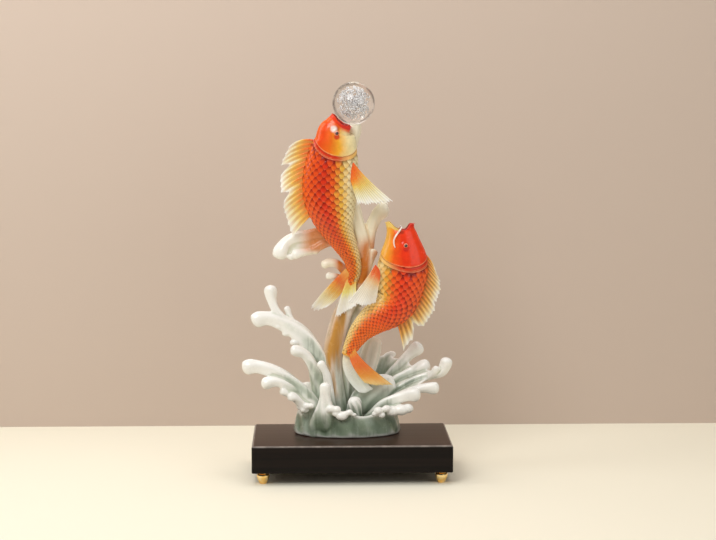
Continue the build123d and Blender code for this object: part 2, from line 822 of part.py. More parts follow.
# Splashes that leave the column above the lower carp
high_splash_shares = {
    "splash_upper_left": [
        (
            [
                (0.10, 0.80, 0.555, 1.3), (-0.05, 0.82, 0.588, 1.1), (-0.25, 0.82, 0.592, 1.0),
                (-0.42, 0.80, 0.580, 1.0), (-0.57, 0.75, 0.557, 1.0), (-0.68, 0.70, 0.528, 1.0),
            ],
            0.75,
            0.55,
        ),
        (
            [
                (-0.22, 0.78, 0.588, 1.0), (-0.38, 0.70, 0.562, 0.9), (-0.50, 0.64, 0.545, 0.8),
                (-0.56, 0.60, 0.536, 0.8),
            ],
            0.5,
            0.4,
        ),
    ],
    "splash_upper_curl": [
        (
            [
                (0.10, 0.80, 0.430, 1.1), (0.00, 0.80, 0.455, 1.1), (-0.08, 0.80, 0.485, 1.0),
                (-0.16, 0.78, 0.500, 0.9), (-0.25, 0.74, 0.500, 0.9),
            ],
            0.5,
            0.45,
        ),
        (
            [(0.02, 0.78, 0.445, 1.0), (-0.10, 0.66, 0.462, 0.9), (-0.20, 0.60, 0.470, 0.8)],
            0.4,
            0.35,
        ),
    ],
    "splash_upper_right": [
        (
            [
                (0.12, 0.80, 0.500, 1.0), (0.18, 0.86, 0.555, 1.0),
                (0.21, 0.86, 0.610, 0.9), (0.26, 0.86, 0.650, 0.9), (0.29, 0.86, 0.665, 0.9),
            ],
            0.7,
            0.5,
        ),
    ],
    "splash_upper_small": [
        (
            [(0.14, 0.74, 0.485, 1.2), (0.20, 0.64, 0.520, 1.0), (0.235, 0.62, 0.552, 0.8)],
            0.45,
            0.4,
        ),
    ],
    "carp_support": [(support_shares, 0.9, 0.75)],
}

placed += [column_upper.part, upper_body.part, column_dowel.part, carp_pins.part]
for name, limbs in high_splash_shares.items():
    casting = fitted(limbs, placed, on_column)
    placed.append(casting)
    save(casting, name)

plates = {f"upper_carp_{name}": plate for name, plate in upper_fins.items()}
plates |= {f"lower_carp_{name}": plate for name, plate in lower_fins.items()}
for name, plate in plates.items():
    with BuildPart() as fitted_fin:
        add(plate)
        for other in near(plate, placed):
            add(other, mode=Mode.SUBTRACT)
    placed.append(fitted_fin.part)
    save(fitted_fin.part, name)
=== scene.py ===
import math
import random

import bmesh
import bpy
import numpy as np
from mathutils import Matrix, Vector
from mathutils.kdtree import KDTree


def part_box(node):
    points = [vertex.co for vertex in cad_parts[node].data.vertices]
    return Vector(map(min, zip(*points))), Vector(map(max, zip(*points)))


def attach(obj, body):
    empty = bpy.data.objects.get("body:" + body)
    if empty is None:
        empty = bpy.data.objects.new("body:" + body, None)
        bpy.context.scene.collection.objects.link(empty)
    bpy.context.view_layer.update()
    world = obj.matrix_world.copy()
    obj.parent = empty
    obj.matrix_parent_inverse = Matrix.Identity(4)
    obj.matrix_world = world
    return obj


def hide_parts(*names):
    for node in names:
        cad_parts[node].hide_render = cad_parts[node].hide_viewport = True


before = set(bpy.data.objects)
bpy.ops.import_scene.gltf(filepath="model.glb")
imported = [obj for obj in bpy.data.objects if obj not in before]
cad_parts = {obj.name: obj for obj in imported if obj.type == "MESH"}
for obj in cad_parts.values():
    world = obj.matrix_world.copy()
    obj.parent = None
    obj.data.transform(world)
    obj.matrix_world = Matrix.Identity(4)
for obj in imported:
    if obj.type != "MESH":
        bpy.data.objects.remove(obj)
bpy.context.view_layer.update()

mm = 0.001

bench = {
    "zero": 0.0435,           # height that the figure's places are counted from
    "splashReach": 0.12,     # what a share of 1 means in x, in y and in z
    "splashDepth": 0.04,
    "splashRise": 0.14,
    "columnRise": 0.4,
}


def inSplash(x, y, z):
    return (x * bench["splashReach"], y * bench["splashDepth"], bench["zero"] + z * bench["splashRise"])


def onColumn(x, y, z):
    return (x * bench["splashReach"], y * bench["splashDepth"], bench["zero"] + z * bench["columnRise"])


# curves

def throughPoints(rows, count):
    # Catmull-Rom through rows of numbers, spread evenly by row
    rows = np.array(rows, float)
    padded = np.vstack([2 * rows[0] - rows[1], rows, 2 * rows[-1] - rows[-2]])
    t = np.linspace(0, len(rows) - 1, count)
    i = np.minimum(t.astype(int), len(rows) - 2)
    f = (t - i)[:, None]
    a, b, c, d = padded[i], padded[i + 1], padded[i + 2], padded[i + 3]
    return 0.5 * (2 * b + (c - a) * f + (2 * a - 5 * b + 4 * c - d) * f ** 2 + (3 * b - a - 3 * c + d) * f ** 3)


def unit(v):
    return v / np.maximum(np.linalg.norm(v, axis=-1, keepdims=True), 1e-12)


def framesAlong(centre):
    heading = unit(np.gradient(centre, axis=0))
    side = unit(np.cross(np.array([0, 1.0, 0]), heading))
    return heading, side, np.cross(heading, side)


def travelAlong(centre):
    return np.concatenate([[0], np.cumsum(np.linalg.norm(np.diff(centre, axis=0), axis=1))])


def anglesRound(count):
    return np.linspace(0, 2 * math.pi, count, endpoint=False)


def smoothStep(low, high, x):
    t = np.clip((x - low) / (high - low), 0, 1)
    return t * t * (3 - 2 * t)


def plateau(x, a, b, c, d):
    # rises from a to b and falls from c to d
    return smoothStep(a, b, x) * (1 - smoothStep(c, d, x))


def bell(x, middle, wide):
    return np.exp(-((x - middle) / wide) ** 2)


# meshes

def addObject(name, data):
    obj = bpy.data.objects.new(name, data)
    bpy.context.scene.collection.objects.link(obj)
    return obj


def smoothMesh(mesh):
    mesh.polygons.foreach_set("use_smooth", [True] * len(mesh.polygons))


def meshFrom(name, verts, faces=()):
    mesh = bpy.data.meshes.new(name)
    mesh.from_pydata([tuple(v) for v in verts], [], faces)
    mesh.update()
    if faces:
        smoothMesh(mesh)
    return addObject(name, mesh)


def fromBmesh(name, bm):
    mesh = bpy.data.meshes.new(name)
    bm.to_mesh(mesh)
    bm.free()
    smoothMesh(mesh)
    return addObject(name, mesh)


def plainCopy(obj, name):
    # the evaluated result as a plain mesh, with no modifier left
    graph = bpy.context.evaluated_depsgraph_get()
    mesh = bpy.data.meshes.new_from_object(obj.evaluated_get(graph), depsgraph=graph)
    smoothMesh(mesh)
    return addObject(name, mesh)


def discard(*objs):
    for obj in objs:
        bpy.data.objects.remove(obj)


def readVectors(mesh, name):
    values = np.empty(len(mesh.vertices) * 3, np.float32)
    mesh.vertices.foreach_get(name, values)
    return values.reshape(-1, 3)


def writeAttributes(mesh, **values):
    for name, row in values.items():
        layer = mesh.attributes.get(name) or mesh.attributes.new(name, "FLOAT", "POINT")
        layer.data.foreach_set("value", np.asarray(row, np.float32))


def outward(obj):
    bm = bmesh.new()
    bm.from_mesh(obj.data)
    bmesh.ops.recalc_face_normals(bm, faces=bm.faces)
    bm.to_mesh(obj.data)
    bm.free()


def gridFaces(rows, columns):
    return [(i * columns + j, i * columns + j + 1, (i + 1) * columns + j + 1, (i + 1) * columns + j)
            for i in range(rows - 1) for j in range(columns - 1)]


def rimOf(rows, columns):
    # the points round the edge of a grid, in turn
    return (list(range(columns)) + [i * columns + columns - 1 for i in range(1, rows)]
            + [(rows - 1) * columns + j for j in range(columns - 2, -1, -1)]
            + [i * columns for i in range(rows - 2, 0, -1)])


def sheetFaces(rows, columns):
    # both sides of a sheet, whose points are a front grid and then a back grid, and the rim between
    n = rows * columns
    faces = []
    for a, b, c, d in gridFaces(rows, columns):
        faces += [(a, b, c, d), (n + d, n + c, n + b, n + a)]
    edge = rimOf(rows, columns)
    return faces + [(a, b, n + b, n + a) for a, b in zip(edge, edge[1:] + edge[:1])]


def ringFaces(rings, around):
    # a tube of rings with both ends closed
    faces = []
    for i in range(rings - 1):
        for j in range(around):
            k = (j + 1) % around
            faces.append((i * around + j, i * around + k, (i + 1) * around + k, (i + 1) * around + j))
    return faces + [tuple(range(around - 1, -1, -1)), tuple((rings - 1) * around + j for j in range(around))]


def chartMesh(name, grid, u, v, flipped=False):
    # an open sheet with a UV map, for scales or rays to be laid out on
    faces = gridFaces(*grid.shape[:2])
    obj = meshFrom(name, grid.reshape(-1, 3), [face[::-1] for face in faces] if flipped else faces)
    uv = obj.data.uv_layers.new(name="chart")
    index = np.empty(len(obj.data.loops), np.int32)
    obj.data.loops.foreach_get("vertex_index", index)
    uv.data.foreach_set("uv", np.column_stack([u.ravel(), v.ravel()])[index].astype(np.float32).ravel())
    return obj


# nodes

def feed(tree, node, values):
    # numbers, colours or other nodes' outputs into the node's inputs
    for name, value in values.items():
        socket = node.inputs[name]
        if isinstance(value, bpy.types.NodeSocket):
            tree.links.new(value, socket)
        else:
            socket.default_value = (*value, 1) if socket.type == "RGBA" else value


def addNode(tree, kind, values={}, **settings):
    node = tree.nodes.new(kind)
    for name, value in settings.items():
        setattr(node, name, value)
    feed(tree, node, values)
    return node


def newMaterial(name):
    mat = bpy.data.materials.new(name)
    mat.use_nodes = True
    return mat, mat.node_tree, mat.node_tree.nodes["Principled BSDF"]


def newGroup(name, kind, inputs, outputs):
    # an input is given by its kind of socket, or by the number that it starts from
    group = bpy.data.node_groups.new(name, kind)
    for label, what in inputs.items():
        sort = what if isinstance(what, str) else "Int" if isinstance(what, int) else "Float"
        socket = group.interface.new_socket(label, in_out="INPUT", socket_type="NodeSocket" + sort)
        if sort != what:
            socket.default_value = what
    for label, sort in outputs.items():
        group.interface.new_socket(label, in_out="OUTPUT", socket_type="NodeSocket" + sort)
    return group, addNode(group, "NodeGroupInput").outputs, addNode(group, "NodeGroupOutput")


def readAttribute(tree, name):
    return addNode(tree, "ShaderNodeAttribute", attribute_name=name).outputs["Fac"]


def ramp(tree, factor, stops):
    node = addNode(tree, "ShaderNodeValToRGB", {"Fac": factor})
    elements = node.color_ramp.elements
    while len(elements) < len(stops):
        elements.new(0.5)
    for element, (place, colour) in zip(elements, stops):
        element.position = place
        element.color = (*colour, 1)
    return node.outputs["Color"]


def mixColours(tree, factor, first, second, blend="MIX"):
    return addNode(tree, "ShaderNodeMix", {0: factor, 6: first, 7: second},
                   data_type="RGBA", blend_type=blend).outputs[2]


def calc(tree, operation, first, second=0.0, clamp=False):
    return addNode(tree, "ShaderNodeMath", {0: first, 1: second}, operation=operation, use_clamp=clamp).outputs[0]


def times(tree, first, second):
    return calc(tree, "MULTIPLY", first, second)


def vectorCalc(tree, operation, values):
    return addNode(tree, "ShaderNodeVectorMath", values, operation=operation).outputs[0]


def rangeOf(tree, value, low, high, toLow=0.0, toHigh=1.0):
    return addNode(tree, "ShaderNodeMapRange", {"Value": value, "From Min": low, "From Max": high, "To Min": toLow,
                                                "To Max": toHigh}, interpolation_type="SMOOTHSTEP").outputs["Result"]


def placeOf(tree):
    return addNode(tree, "ShaderNodeTexCoord").outputs["Object"]


def noiseOf(tree, scale, detail=3.0, stretch=(1, 1, 1), roughness=0.5):
    place = addNode(tree, "ShaderNodeMapping", {"Scale": stretch, "Vector": placeOf(tree)}).outputs["Vector"]
    return addNode(tree, "ShaderNodeTexNoise", {"Vector": place, "Scale": scale, "Detail": detail,
                                                "Roughness": roughness}).outputs["Fac"]


def wanderOf(tree, noise, width):
    # the noise as a shift to either side
    return times(tree, calc(tree, "SUBTRACT", noise, 0.5), width)


def splitOf(tree, vector):
    return addNode(tree, "ShaderNodeSeparateXYZ", {0: vector}).outputs


def bump(tree, shader, height, strength, distance):
    node = addNode(tree, "ShaderNodeBump", {"Height": height, "Strength": strength, "Distance": distance})
    feed(tree, shader, {"Normal": node.outputs["Normal"]})


def buildGlazeGroup():
    # brushed-on paint under gloss: fine mottling, a wandering roughness and a soft orange peel
    group, entry, leave = newGroup("brushedGlaze", "ShaderNodeTree",
                                   {"Mottle Scale": 90.0, "Rough Low": 0.12, "Rough High": 0.3},
                                   {"Mottle": "Float", "Roughness": "Float", "Height": "Float"})
    place = placeOf(group)
    broad = addNode(group, "ShaderNodeTexNoise", {"Vector": place, "Scale": entry["Mottle Scale"], "Detail": 4.0,
                                                  "Roughness": 0.6}).outputs["Fac"]
    fine = addNode(group, "ShaderNodeTexNoise", {"Vector": place, "Scale": 700.0, "Detail": 2.0}).outputs["Fac"]
    rough = addNode(group, "ShaderNodeMapRange", {"Value": broad, "From Min": 0.3, "From Max": 0.7,
                                                  "To Min": entry["Rough Low"], "To Max": entry["Rough High"]})
    feed(group, leave, {"Mottle": broad, "Roughness": rough.outputs["Result"], "Height": fine})
    return group


brushedGlaze = buildGlazeGroup()


def useGlaze(tree, shader, mottleScale, low, high):
    glaze = addNode(tree, "ShaderNodeGroup", {"Mottle Scale": mottleScale, "Rough Low": low, "Rough High": high},
                    node_tree=brushedGlaze).outputs
    feed(tree, shader, {"Roughness": glaze["Roughness"]})
    return glaze


# geometry nodes

def geometryGroup(name, inputs):
    return newGroup(name, "GeometryNodeTree", {"Geometry": "Geometry", **inputs}, {"Geometry": "Geometry"})


def capture(tree, geometry, value):
    node = addNode(tree, "GeometryNodeCaptureAttribute")
    node.capture_items.new("VECTOR", "kept")
    feed(tree, node, {0: geometry, 1: value})
    return node.outputs[0], node.outputs[1]


def standOn(tree, points, instance, more={}):
    return addNode(tree, "GeometryNodeInstanceOnPoints", {"Points": points, "Instance": instance, **more}).outputs[0]


def randomOf(tree, kind, values):
    return addNode(tree, "FunctionNodeRandomValue", values, data_type=kind).outputs


def moveTo(tree, geometry, place):
    return addNode(tree, "GeometryNodeSetPosition", {"Geometry": geometry, "Position": place}).outputs[0]


def realise(tree, geometry):
    return addNode(tree, "GeometryNodeRealizeInstances", {0: geometry}).outputs[0]


def endGroup(tree, leave, geometry, paint):
    painted = addNode(tree, "GeometryNodeSetMaterial", {"Geometry": realise(tree, geometry), "Material": paint})
    feed(tree, leave, {0: painted.outputs[0]})


def namedValue(tree, name, kind="FLOAT"):
    return addNode(tree, "GeometryNodeInputNamedAttribute", {"Name": name}, data_type=kind).outputs["Attribute"]


def geometryOf(tree, obj):
    return addNode(tree, "GeometryNodeObjectInfo", {"Object": obj}).outputs["Geometry"]


def sampleChart(tree, chart, value, uv):
    return addNode(tree, "GeometryNodeSampleUVSurface", {
        "Mesh": chart, "Value": value, "Source UV Map": namedValue(tree, "chart", "FLOAT_VECTOR"), "Sample UV": uv,
    }, data_type="FLOAT_VECTOR").outputs["Value"]


def grow(seeds, group, name, values):
    # runs a node group on the seeds, and leaves only its result, as a plain mesh
    work = seeds.modifiers.new("work", "NODES")
    work.node_group = group
    for item in group.interface.items_tree:
        if item.in_out == "INPUT" and item.name in values:
            work[item.identifier] = values[item.name]
    grown = plainCopy(seeds, name)
    discard(seeds)
    return grown


class Gathered:
    # pieces of points, faces and samples, put together as one mesh
    def __init__(self):
        self.points, self.faces, self.samples, self.count = [], [], [], 0

    def take(self, points, faces, samples):
        self.points.append(points)
        self.faces += [tuple(i + self.count for i in face) for face in faces]
        self.samples.append(samples)
        self.count += len(points)

    def whole(self, name):
        return meshFrom(name, np.concatenate(self.points), self.faces)


# Water: each limb is a swept finger with flow ridges and a hollow side; all of a group are
# fused into one skin and smoothed.

waterLook = {
    "deepGreen": (0.07, 0.108, 0.06),     # at the foot, hollows then ridges
    "paleGreen": (0.205, 0.265, 0.178),
    "deepLight": (0.3, 0.355, 0.26),       # and above it
    "paleLight": (0.54, 0.6, 0.49),
    "wash": (0.66, 0.73, 0.62),
    "white": (0.91, 0.905, 0.87),
    "cream": (0.91, 0.85, 0.67),
    "whiteHollow": (0.7, 0.75, 0.66),      # what shades the hollows of either
    "creamHollow": (0.92, 0.82, 0.68),
    "amber": (0.56, 0.27, 0.05),
    "amberHigh": (0.6, 0.18, 0.018),
    "flowLine": (0.075, 0.105, 0.055),
    "voxel": 0.00095,
    "smoothing": 6,
    "limbAround": 40,       # points round a limb
    "hollowWide": 0.75,     # of a limb's hollow side, in radians
    "swirl": 6,             # radians that a twist of 1 turns the ridges
}


def scaled(rows, place):
    return [(*place(x, y, z), swell) for x, y, z, swell in rows]


def limbMesh(rows, width, depth, ridges=5, ridgeDepth=0.07, twist=1.5, hollow=0.0, hollowAt=0.0, knob=0.24,
             pale=1.0, start=0.0):
    # rows of x, y, z and swell, in metres; gives points, faces and samples of the route
    length = sum(math.dist(a[:3], b[:3]) for a, b in zip(rows, rows[1:]))
    line = throughPoints(rows, max(24, int(length / (1.1 * mm))))
    centre, swell = line[:, :3], np.maximum(line[:, 3], 0.2)
    _, side, across = framesAlong(centre)
    travel = travelAlong(centre)
    share, left = travel / travel[-1], travel[-1] - travel
    leftShare = (left / travel[-1])[:, None]
    # the last radius closes as a dome, just past a slight knob
    tip = max(0.5 * depth * swell[-1], 1 * mm)
    swell = swell * (1 + knob * bell(left, 1.6 * tip, 1.5 * tip))
    swell = swell * np.maximum(np.sqrt(np.clip(1 - np.clip(1 - left / tip, 0, 1) ** 2, 0, 1)), 0.04)
    angle = anglesRound(waterLook["limbAround"])
    phase = ridges * angle + twist * waterLook["swirl"] * share[:, None]
    relief = 1 + ridgeDepth * np.sin(phase) * smoothStep(0.0, 0.12, leftShare)
    away = np.angle(np.exp(1j * (angle - hollowAt)))
    relief = relief * (1 - hollow * bell(away, 0, waterLook["hollowWide"]) * smoothStep(0.02, 0.3, leftShare))
    a = (width / 2 * swell)[:, None] * relief * np.cos(angle)
    b = (depth / 2 * swell)[:, None] * relief * np.sin(angle)
    points = centre[:, None] + a[..., None] * side[:, None] + b[..., None] * across[:, None]
    samples = np.column_stack([centre, (start + (1 - start) * share) * pale])
    return points.reshape(-1, 3), ringFaces(*a.shape), samples


def webMesh(first, second, thickness, reach, dip):
    # a sheet of water stretched between two routes, with a free edge that dips between them
    along, over, steps = 40, 16, 80
    lines = [throughPoints(route, steps)[:, :3] for route in (first, second)]
    rows = []
    for v in np.arange(over + 1) / over:
        t = np.linspace(0, reach * (1 - dip * 4 * v * (1 - v)), along) * (steps - 1)
        i = np.minimum(t.astype(int), steps - 2)
        f = (t - i)[:, None]
        one, other = (line[i] * (1 - f) + line[i + 1] * f for line in lines)
        rows.append(one * (1 - v) + other * v)
    grid = np.array(rows)
    normal = unit(np.cross(np.gradient(grid, axis=1), np.gradient(grid, axis=0)))
    half = normal * thickness / 2 * np.linspace(1.0, 0.45, along)[:, None]
    points = np.concatenate([grid + half, grid - half]).reshape(-1, 3)
    share = np.tile(np.linspace(0, reach, along) * 0.9, over + 1)
    return points, sheetFaces(over + 1, along), np.column_stack([grid.reshape(-1, 3), share])


def blobMesh(centre, size, squash):
    bm = bmesh.new()
    bmesh.ops.create_icosphere(bm, subdivisions=3, radius=size)
    points = np.array([tuple(v.co) for v in bm.verts]) * squash + centre
    faces = [tuple(v.index for v in f.verts) for f in bm.faces]
    bm.free()
    return points, faces, np.array([[*centre, 0.95]])


def fuse(group, name):
    rough = group.whole(name + "Rough")
    remesh = rough.modifiers.new("oneSkin", "REMESH")
    remesh.mode = "VOXEL"
    remesh.voxel_size = waterLook["voxel"]
    smooth = rough.modifiers.new("soften", "SMOOTH")
    smooth.factor = 0.5
    smooth.iterations = waterLook["smoothing"]
    skin = plainCopy(rough, name)
    discard(rough)
    return skin


def linksOf(mesh):
    edges = np.empty(len(mesh.edges) * 2, np.int32)
    mesh.edges.foreach_get("vertices", edges)
    a, b = edges.reshape(-1, 2).T
    return a, b, np.maximum(np.bincount(edges, minlength=len(mesh.vertices)), 1)


def soften(values, links, rounds):
    a, b, degree = links
    count = len(values)
    for _ in range(rounds):
        values = (np.bincount(a, values[b], count) + np.bincount(b, values[a], count)) / degree
    return values


def dressWater(skin, group, whiteFrom):
    # for the glaze: how white each point is, by how far along its limb it lies, and how far it stands
    # out of its softened neighbourhood
    samples = np.concatenate(group.samples)
    tree = KDTree(len(samples))
    for index, sample in enumerate(samples):
        tree.insert(sample[:3], index)
    tree.balance()
    co, links = readVectors(skin.data, "co"), linksOf(skin.data)
    along = soften(np.array([samples[tree.find(point)[1]][3] for point in co]), links, 12)
    soft = np.column_stack([soften(column, links, 14) for column in co.T])
    raised = soften(((co - soft) * readVectors(skin.data, "normal")).sum(1), links, 2)
    writeAttributes(skin.data, white=smoothStep(whiteFrom - 0.3, whiteFrom + 0.35, along),
                    raised=np.clip(raised / (0.8 * mm) * 0.5 + 0.5, 0, 1))
    return co


lowRows = {   # x, y and z shares, then swell
    "crest": [
        (-0.25, 0.3, 0.1, 1.35), (-0.28, 0.36, 0.3, 1.25), (-0.3, 0.43, 0.46, 1.15),
        (-0.335, 0.5, 0.61, 1.1), (-0.41, 0.55, 0.75, 1.05), (-0.52, 0.56, 0.86, 1.0),
        (-0.65, 0.56, 0.935, 0.88), (-0.78, 0.53, 0.985, 0.74), (-0.9, 0.5, 0.99, 0.66), (-0.975, 0.46, 0.955, 0.62),
    ],
    "crestThumb": [
        (-0.6, 0.55, 0.9, 1.2), (-0.68, 0.57, 0.98, 1.0), (-0.745, 0.6, 1.06, 0.85),
        (-0.785, 0.64, 1.16, 0.88), (-0.8, 0.65, 1.278, 1.0),
    ],
    "crestProng": [(-0.55, 0.6, 0.9, 1.2), (-0.6, 0.66, 1.0, 0.9), (-0.645, 0.68, 1.095, 0.8)],
    "curl": [
        (-0.3, 0.36, 0.3, 1.5), (-0.345, 0.28, 0.5, 1.3), (-0.39, 0.2, 0.62, 1.1),
        (-0.46, 0.12, 0.705, 0.95), (-0.54, 0.05, 0.735, 0.9), (-0.6, 0.0, 0.735, 0.95),
    ],
    "inner": [
        (-0.21, 0.06, 0.12, 1.5), (-0.215, 0.02, 0.38, 1.1), (-0.24, -0.05, 0.52, 0.9),
        (-0.28, -0.11, 0.6, 0.75), (-0.315, -0.15, 0.655, 0.8),
    ],
    "low": [
        (-0.3, 0.0, 0.1, 1.45), (-0.46, -0.1, 0.33, 1.3), (-0.59, -0.2, 0.455, 1.15),
        (-0.73, -0.3, 0.55, 0.98), (-0.87, -0.35, 0.605, 0.86), (-0.985, -0.4, 0.622, 0.78),
        (-1.068, -0.4, 0.6, 0.74),
    ],
    "lowSecond": [
        (-0.5, -0.18, 0.32, 1.2), (-0.63, -0.4, 0.45, 1.0),
        (-0.75, -0.5, 0.498, 0.92), (-0.885, -0.55, 0.478, 0.98),
    ],
    "lowThird": [(-0.44, -0.25, 0.24, 1.2), (-0.54, -0.45, 0.35, 1.0), (-0.625, -0.56, 0.378, 0.95)],
    "lowFourth": [(-0.5, -0.2, 0.35, 1.1), (-0.62, -0.42, 0.395, 0.9), (-0.7, -0.52, 0.43, 0.9)],
    "rear": [(-0.36, 0.55, 0.12, 1.2), (-0.42, 0.66, 0.32, 1.0), (-0.49, 0.72, 0.425, 0.95)],
    "spout": [
        (-0.25, 0.02, 0.08, 4.0), (-0.25, -0.24, 0.17, 3.0), (-0.255, -0.42, 0.25, 1.95), (-0.258, -0.5, 0.33, 1.2),
        (-0.26, -0.55, 0.42, 0.88), (-0.26, -0.58, 0.495, 0.8),
    ],
    "green": [
        (0.18, -0.08, 0.12, 1.6), (0.3, -0.17, 0.26, 1.2), (0.44, -0.22, 0.325, 1.05), (0.57, -0.26, 0.368, 1.0),
        (0.685, -0.3, 0.372, 1.05),
    ],
    "short": [
        (0.22, 0.22, 0.12, 1.6), (0.42, 0.16, 0.3, 1.1), (0.58, 0.08, 0.375, 0.95),
        (0.72, 0.02, 0.412, 1.0), (0.875, -0.03, 0.415, 1.15),
    ],
    "far": [
        (0.2, 0.5, 0.1, 1.7), (0.44, 0.52, 0.35, 1.25), (0.63, 0.5, 0.45, 1.0),
        (0.79, 0.44, 0.5, 0.9), (0.895, 0.38, 0.53, 0.95), (0.94, 0.33, 0.592, 0.95), (0.957, 0.3, 0.662, 1.15),
    ],
    "farProng": [(0.78, 0.42, 0.49, 1.1), (0.83, 0.28, 0.54, 0.9), (0.858, 0.2, 0.59, 0.85)],
    "middle": [
        (0.2, 0.85, 0.1, 1.7), (0.4, 0.85, 0.39, 1.25), (0.56, 0.82, 0.49, 1.0),
        (0.7, 0.78, 0.553, 1.0), (0.8, 0.76, 0.585, 1.15),
    ],
    "high": [
        (0.16, 1.12, 0.1, 1.6), (0.38, 1.14, 0.43, 1.15), (0.49, 1.1, 0.55, 0.95),
        (0.6, 1.06, 0.655, 0.9), (0.72, 1.0, 0.745, 1.05),
    ],
    "rightCurl": [
        (0.1, 0.95, 0.1, 1.5), (0.26, 1.25, 0.42, 1.0), (0.32, 1.34, 0.56, 0.85),
        (0.365, 1.38, 0.625, 0.7), (0.42, 1.38, 0.645, 0.6), (0.46, 1.36, 0.625, 0.55),
    ],
    "back": [
        (0.05, 0.62, 0.1, 1.3), (0.13, 0.84, 0.38, 1.15), (0.18, 0.96, 0.58, 1.05),
        (0.235, 1.02, 0.73, 0.85), (0.262, 1.02, 0.8, 0.6),
    ],
    "bowl": [
        (0.06, 0.3, 0.14, 1.0), (0.13, 0.34, 0.27, 1.15), (0.23, 0.36, 0.36, 1.15), (0.34, 0.36, 0.42, 0.95),
        (0.44, 0.36, 0.455, 0.5),
    ],
    "middleFoam": [(0.04, -0.02, 0.12, 1.3), (0.04, -0.12, 0.26, 1.1), (0.01, -0.16, 0.35, 0.85)],
}
lowRoutes = {name: scaled(rows, inSplash) for name, rows in lowRows.items()}

lowLimbs = {   # width, depth in millimetres, then how each is worked
    "crest": (24, 15, {"ridges": 5, "hollow": 0.3, "hollowAt": 2.6}),
    "crestThumb": (13, 11, {"ridges": 4, "start": 0.55}),
    "crestProng": (8, 7, {"ridges": 3, "start": 0.6}),
    "curl": (12, 10, {"ridges": 4, "hollow": 0.25, "hollowAt": 1.6}),
    "inner": (11, 9, {"ridges": 3}),
    "low": (19, 13, {"ridges": 5, "hollow": 0.25, "hollowAt": 2.8}),
    "lowSecond": (12, 10, {"ridges": 4, "start": 0.5}),
    "lowThird": (9, 8, {"ridges": 3, "start": 0.6}),
    "lowFourth": (9, 8, {"ridges": 3, "start": 0.6}),
    "rear": (17, 14, {"ridges": 4}),
    "spout": (13, 11, {"ridges": 5, "ridgeDepth": 0.05}),
    "green": (13, 10, {"ridges": 3, "hollow": 0.3, "hollowAt": -1.6}),
    "short": (11, 9, {"ridges": 3}),
    "far": (12, 10, {"ridges": 4}),
    "farProng": (8, 7, {"ridges": 3, "start": 0.6}),
    "middle": (12, 10, {"ridges": 4}),
    "high": (14, 10, {"ridges": 4}),
    "rightCurl": (11, 8, {"ridges": 3}),
    "back": (19, 8, {"ridges": 6, "ridgeDepth": 0.1, "twist": 0.4}),
    "middleFoam": (13, 11, {"ridges": 7, "ridgeDepth": 0.1, "pale": 0.7}),
    "bowl": (30, 7, {"ridges": 8, "ridgeDepth": 0.1, "twist": 0.3, "pale": 0.7, "knob": 0}),
}

baseLook = {
    "around": 200,
    "rings": 60,
    "height": 0.93,     # share of the CAD box that the wall takes
    "profile": [(0.0, 0.95), (0.05, 0.985), (0.2, 0.99), (0.5, 0.965), (0.75, 0.935), (0.93, 0.92), (1.02, 0.89),
                (1.04, 0.85), (0.98, 0.8), (0.88, 0.72), (0.8, 0.55), (0.78, 0.28), (0.8, 0.02)],
}


def baseLump():
    # the oval body of the splash: swirling flutes up its wall and a wavy lip round a shallow bowl
    low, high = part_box("wave_base")
    middleX, middleY = low.lerp(high, 0.5).xy
    halfX, halfY, rise = (high.x - low.x) / 2, (high.y - low.y) / 2, high.z - low.z
    rows = throughPoints(baseLook["profile"], baseLook["rings"])
    angle = anglesRound(baseLook["around"])
    points = []
    for index, (up, out) in enumerate(rows):
        share = index / (len(rows) - 1)
        flute = 0.011 * np.sin(17 * angle + 5.0 * up + 1.2 * np.sin(3 * angle)) + 0.008 * np.sin(7 * angle - 4 * up)
        lip = 0.1 * np.sin(3 * angle + 0.6) + 0.06 * np.sin(8 * angle + 2.0) - 0.12 * bell(angle, 4.85, 0.35)
        radial = out + flute * plateau(share, 0.0, 0.15, 0.5, 0.7)
        z = low.z + rise * (up * baseLook["height"] + lip * plateau(share, 0.3, 0.6, 0.75, 0.95))
        points.append(np.column_stack([middleX + halfX * radial * np.cos(angle),
                                       middleY + halfY * radial * np.sin(angle), np.maximum(z, low.z)]))
    flat = np.concatenate(points)
    some = flat[::7]
    samples = np.column_stack([some, np.clip((some[:, 2] - low.z) / rise * 0.45, 0, 0.6)])
    return flat, ringFaces(len(rows), len(angle)), samples


print("water: low splashes")
lowWater = Gathered()
lowWater.take(*baseLump())
for limbName, (width, depth, work) in lowLimbs.items():
    lowWater.take(*limbMesh(lowRoutes[limbName], width * mm, depth * mm, **work))

webs = [   # the two limbs, thickness in millimetres, how far out it reaches and how deep its edge dips
    ("far", "middle", 4.5, 0.8, 0.14), ("middle", "high", 4.5, 0.76, 0.14), ("high", "rightCurl", 4.5, 0.72, 0.14),
    ("rightCurl", "back", 4.5, 0.66, 0.1), ("short", "far", 4.5, 0.62, 0.16), ("green", "short", 4.0, 0.4, 0.2),
    ("curl", "crest", 6.0, 0.5, 0.05), ("lowSecond", "low", 5.0, 0.45, 0.3),
]
for first, second, thickness, reach, dip in webs:
    lowWater.take(*webMesh(lowRoutes[first], lowRoutes[second], thickness * mm, reach, dip))

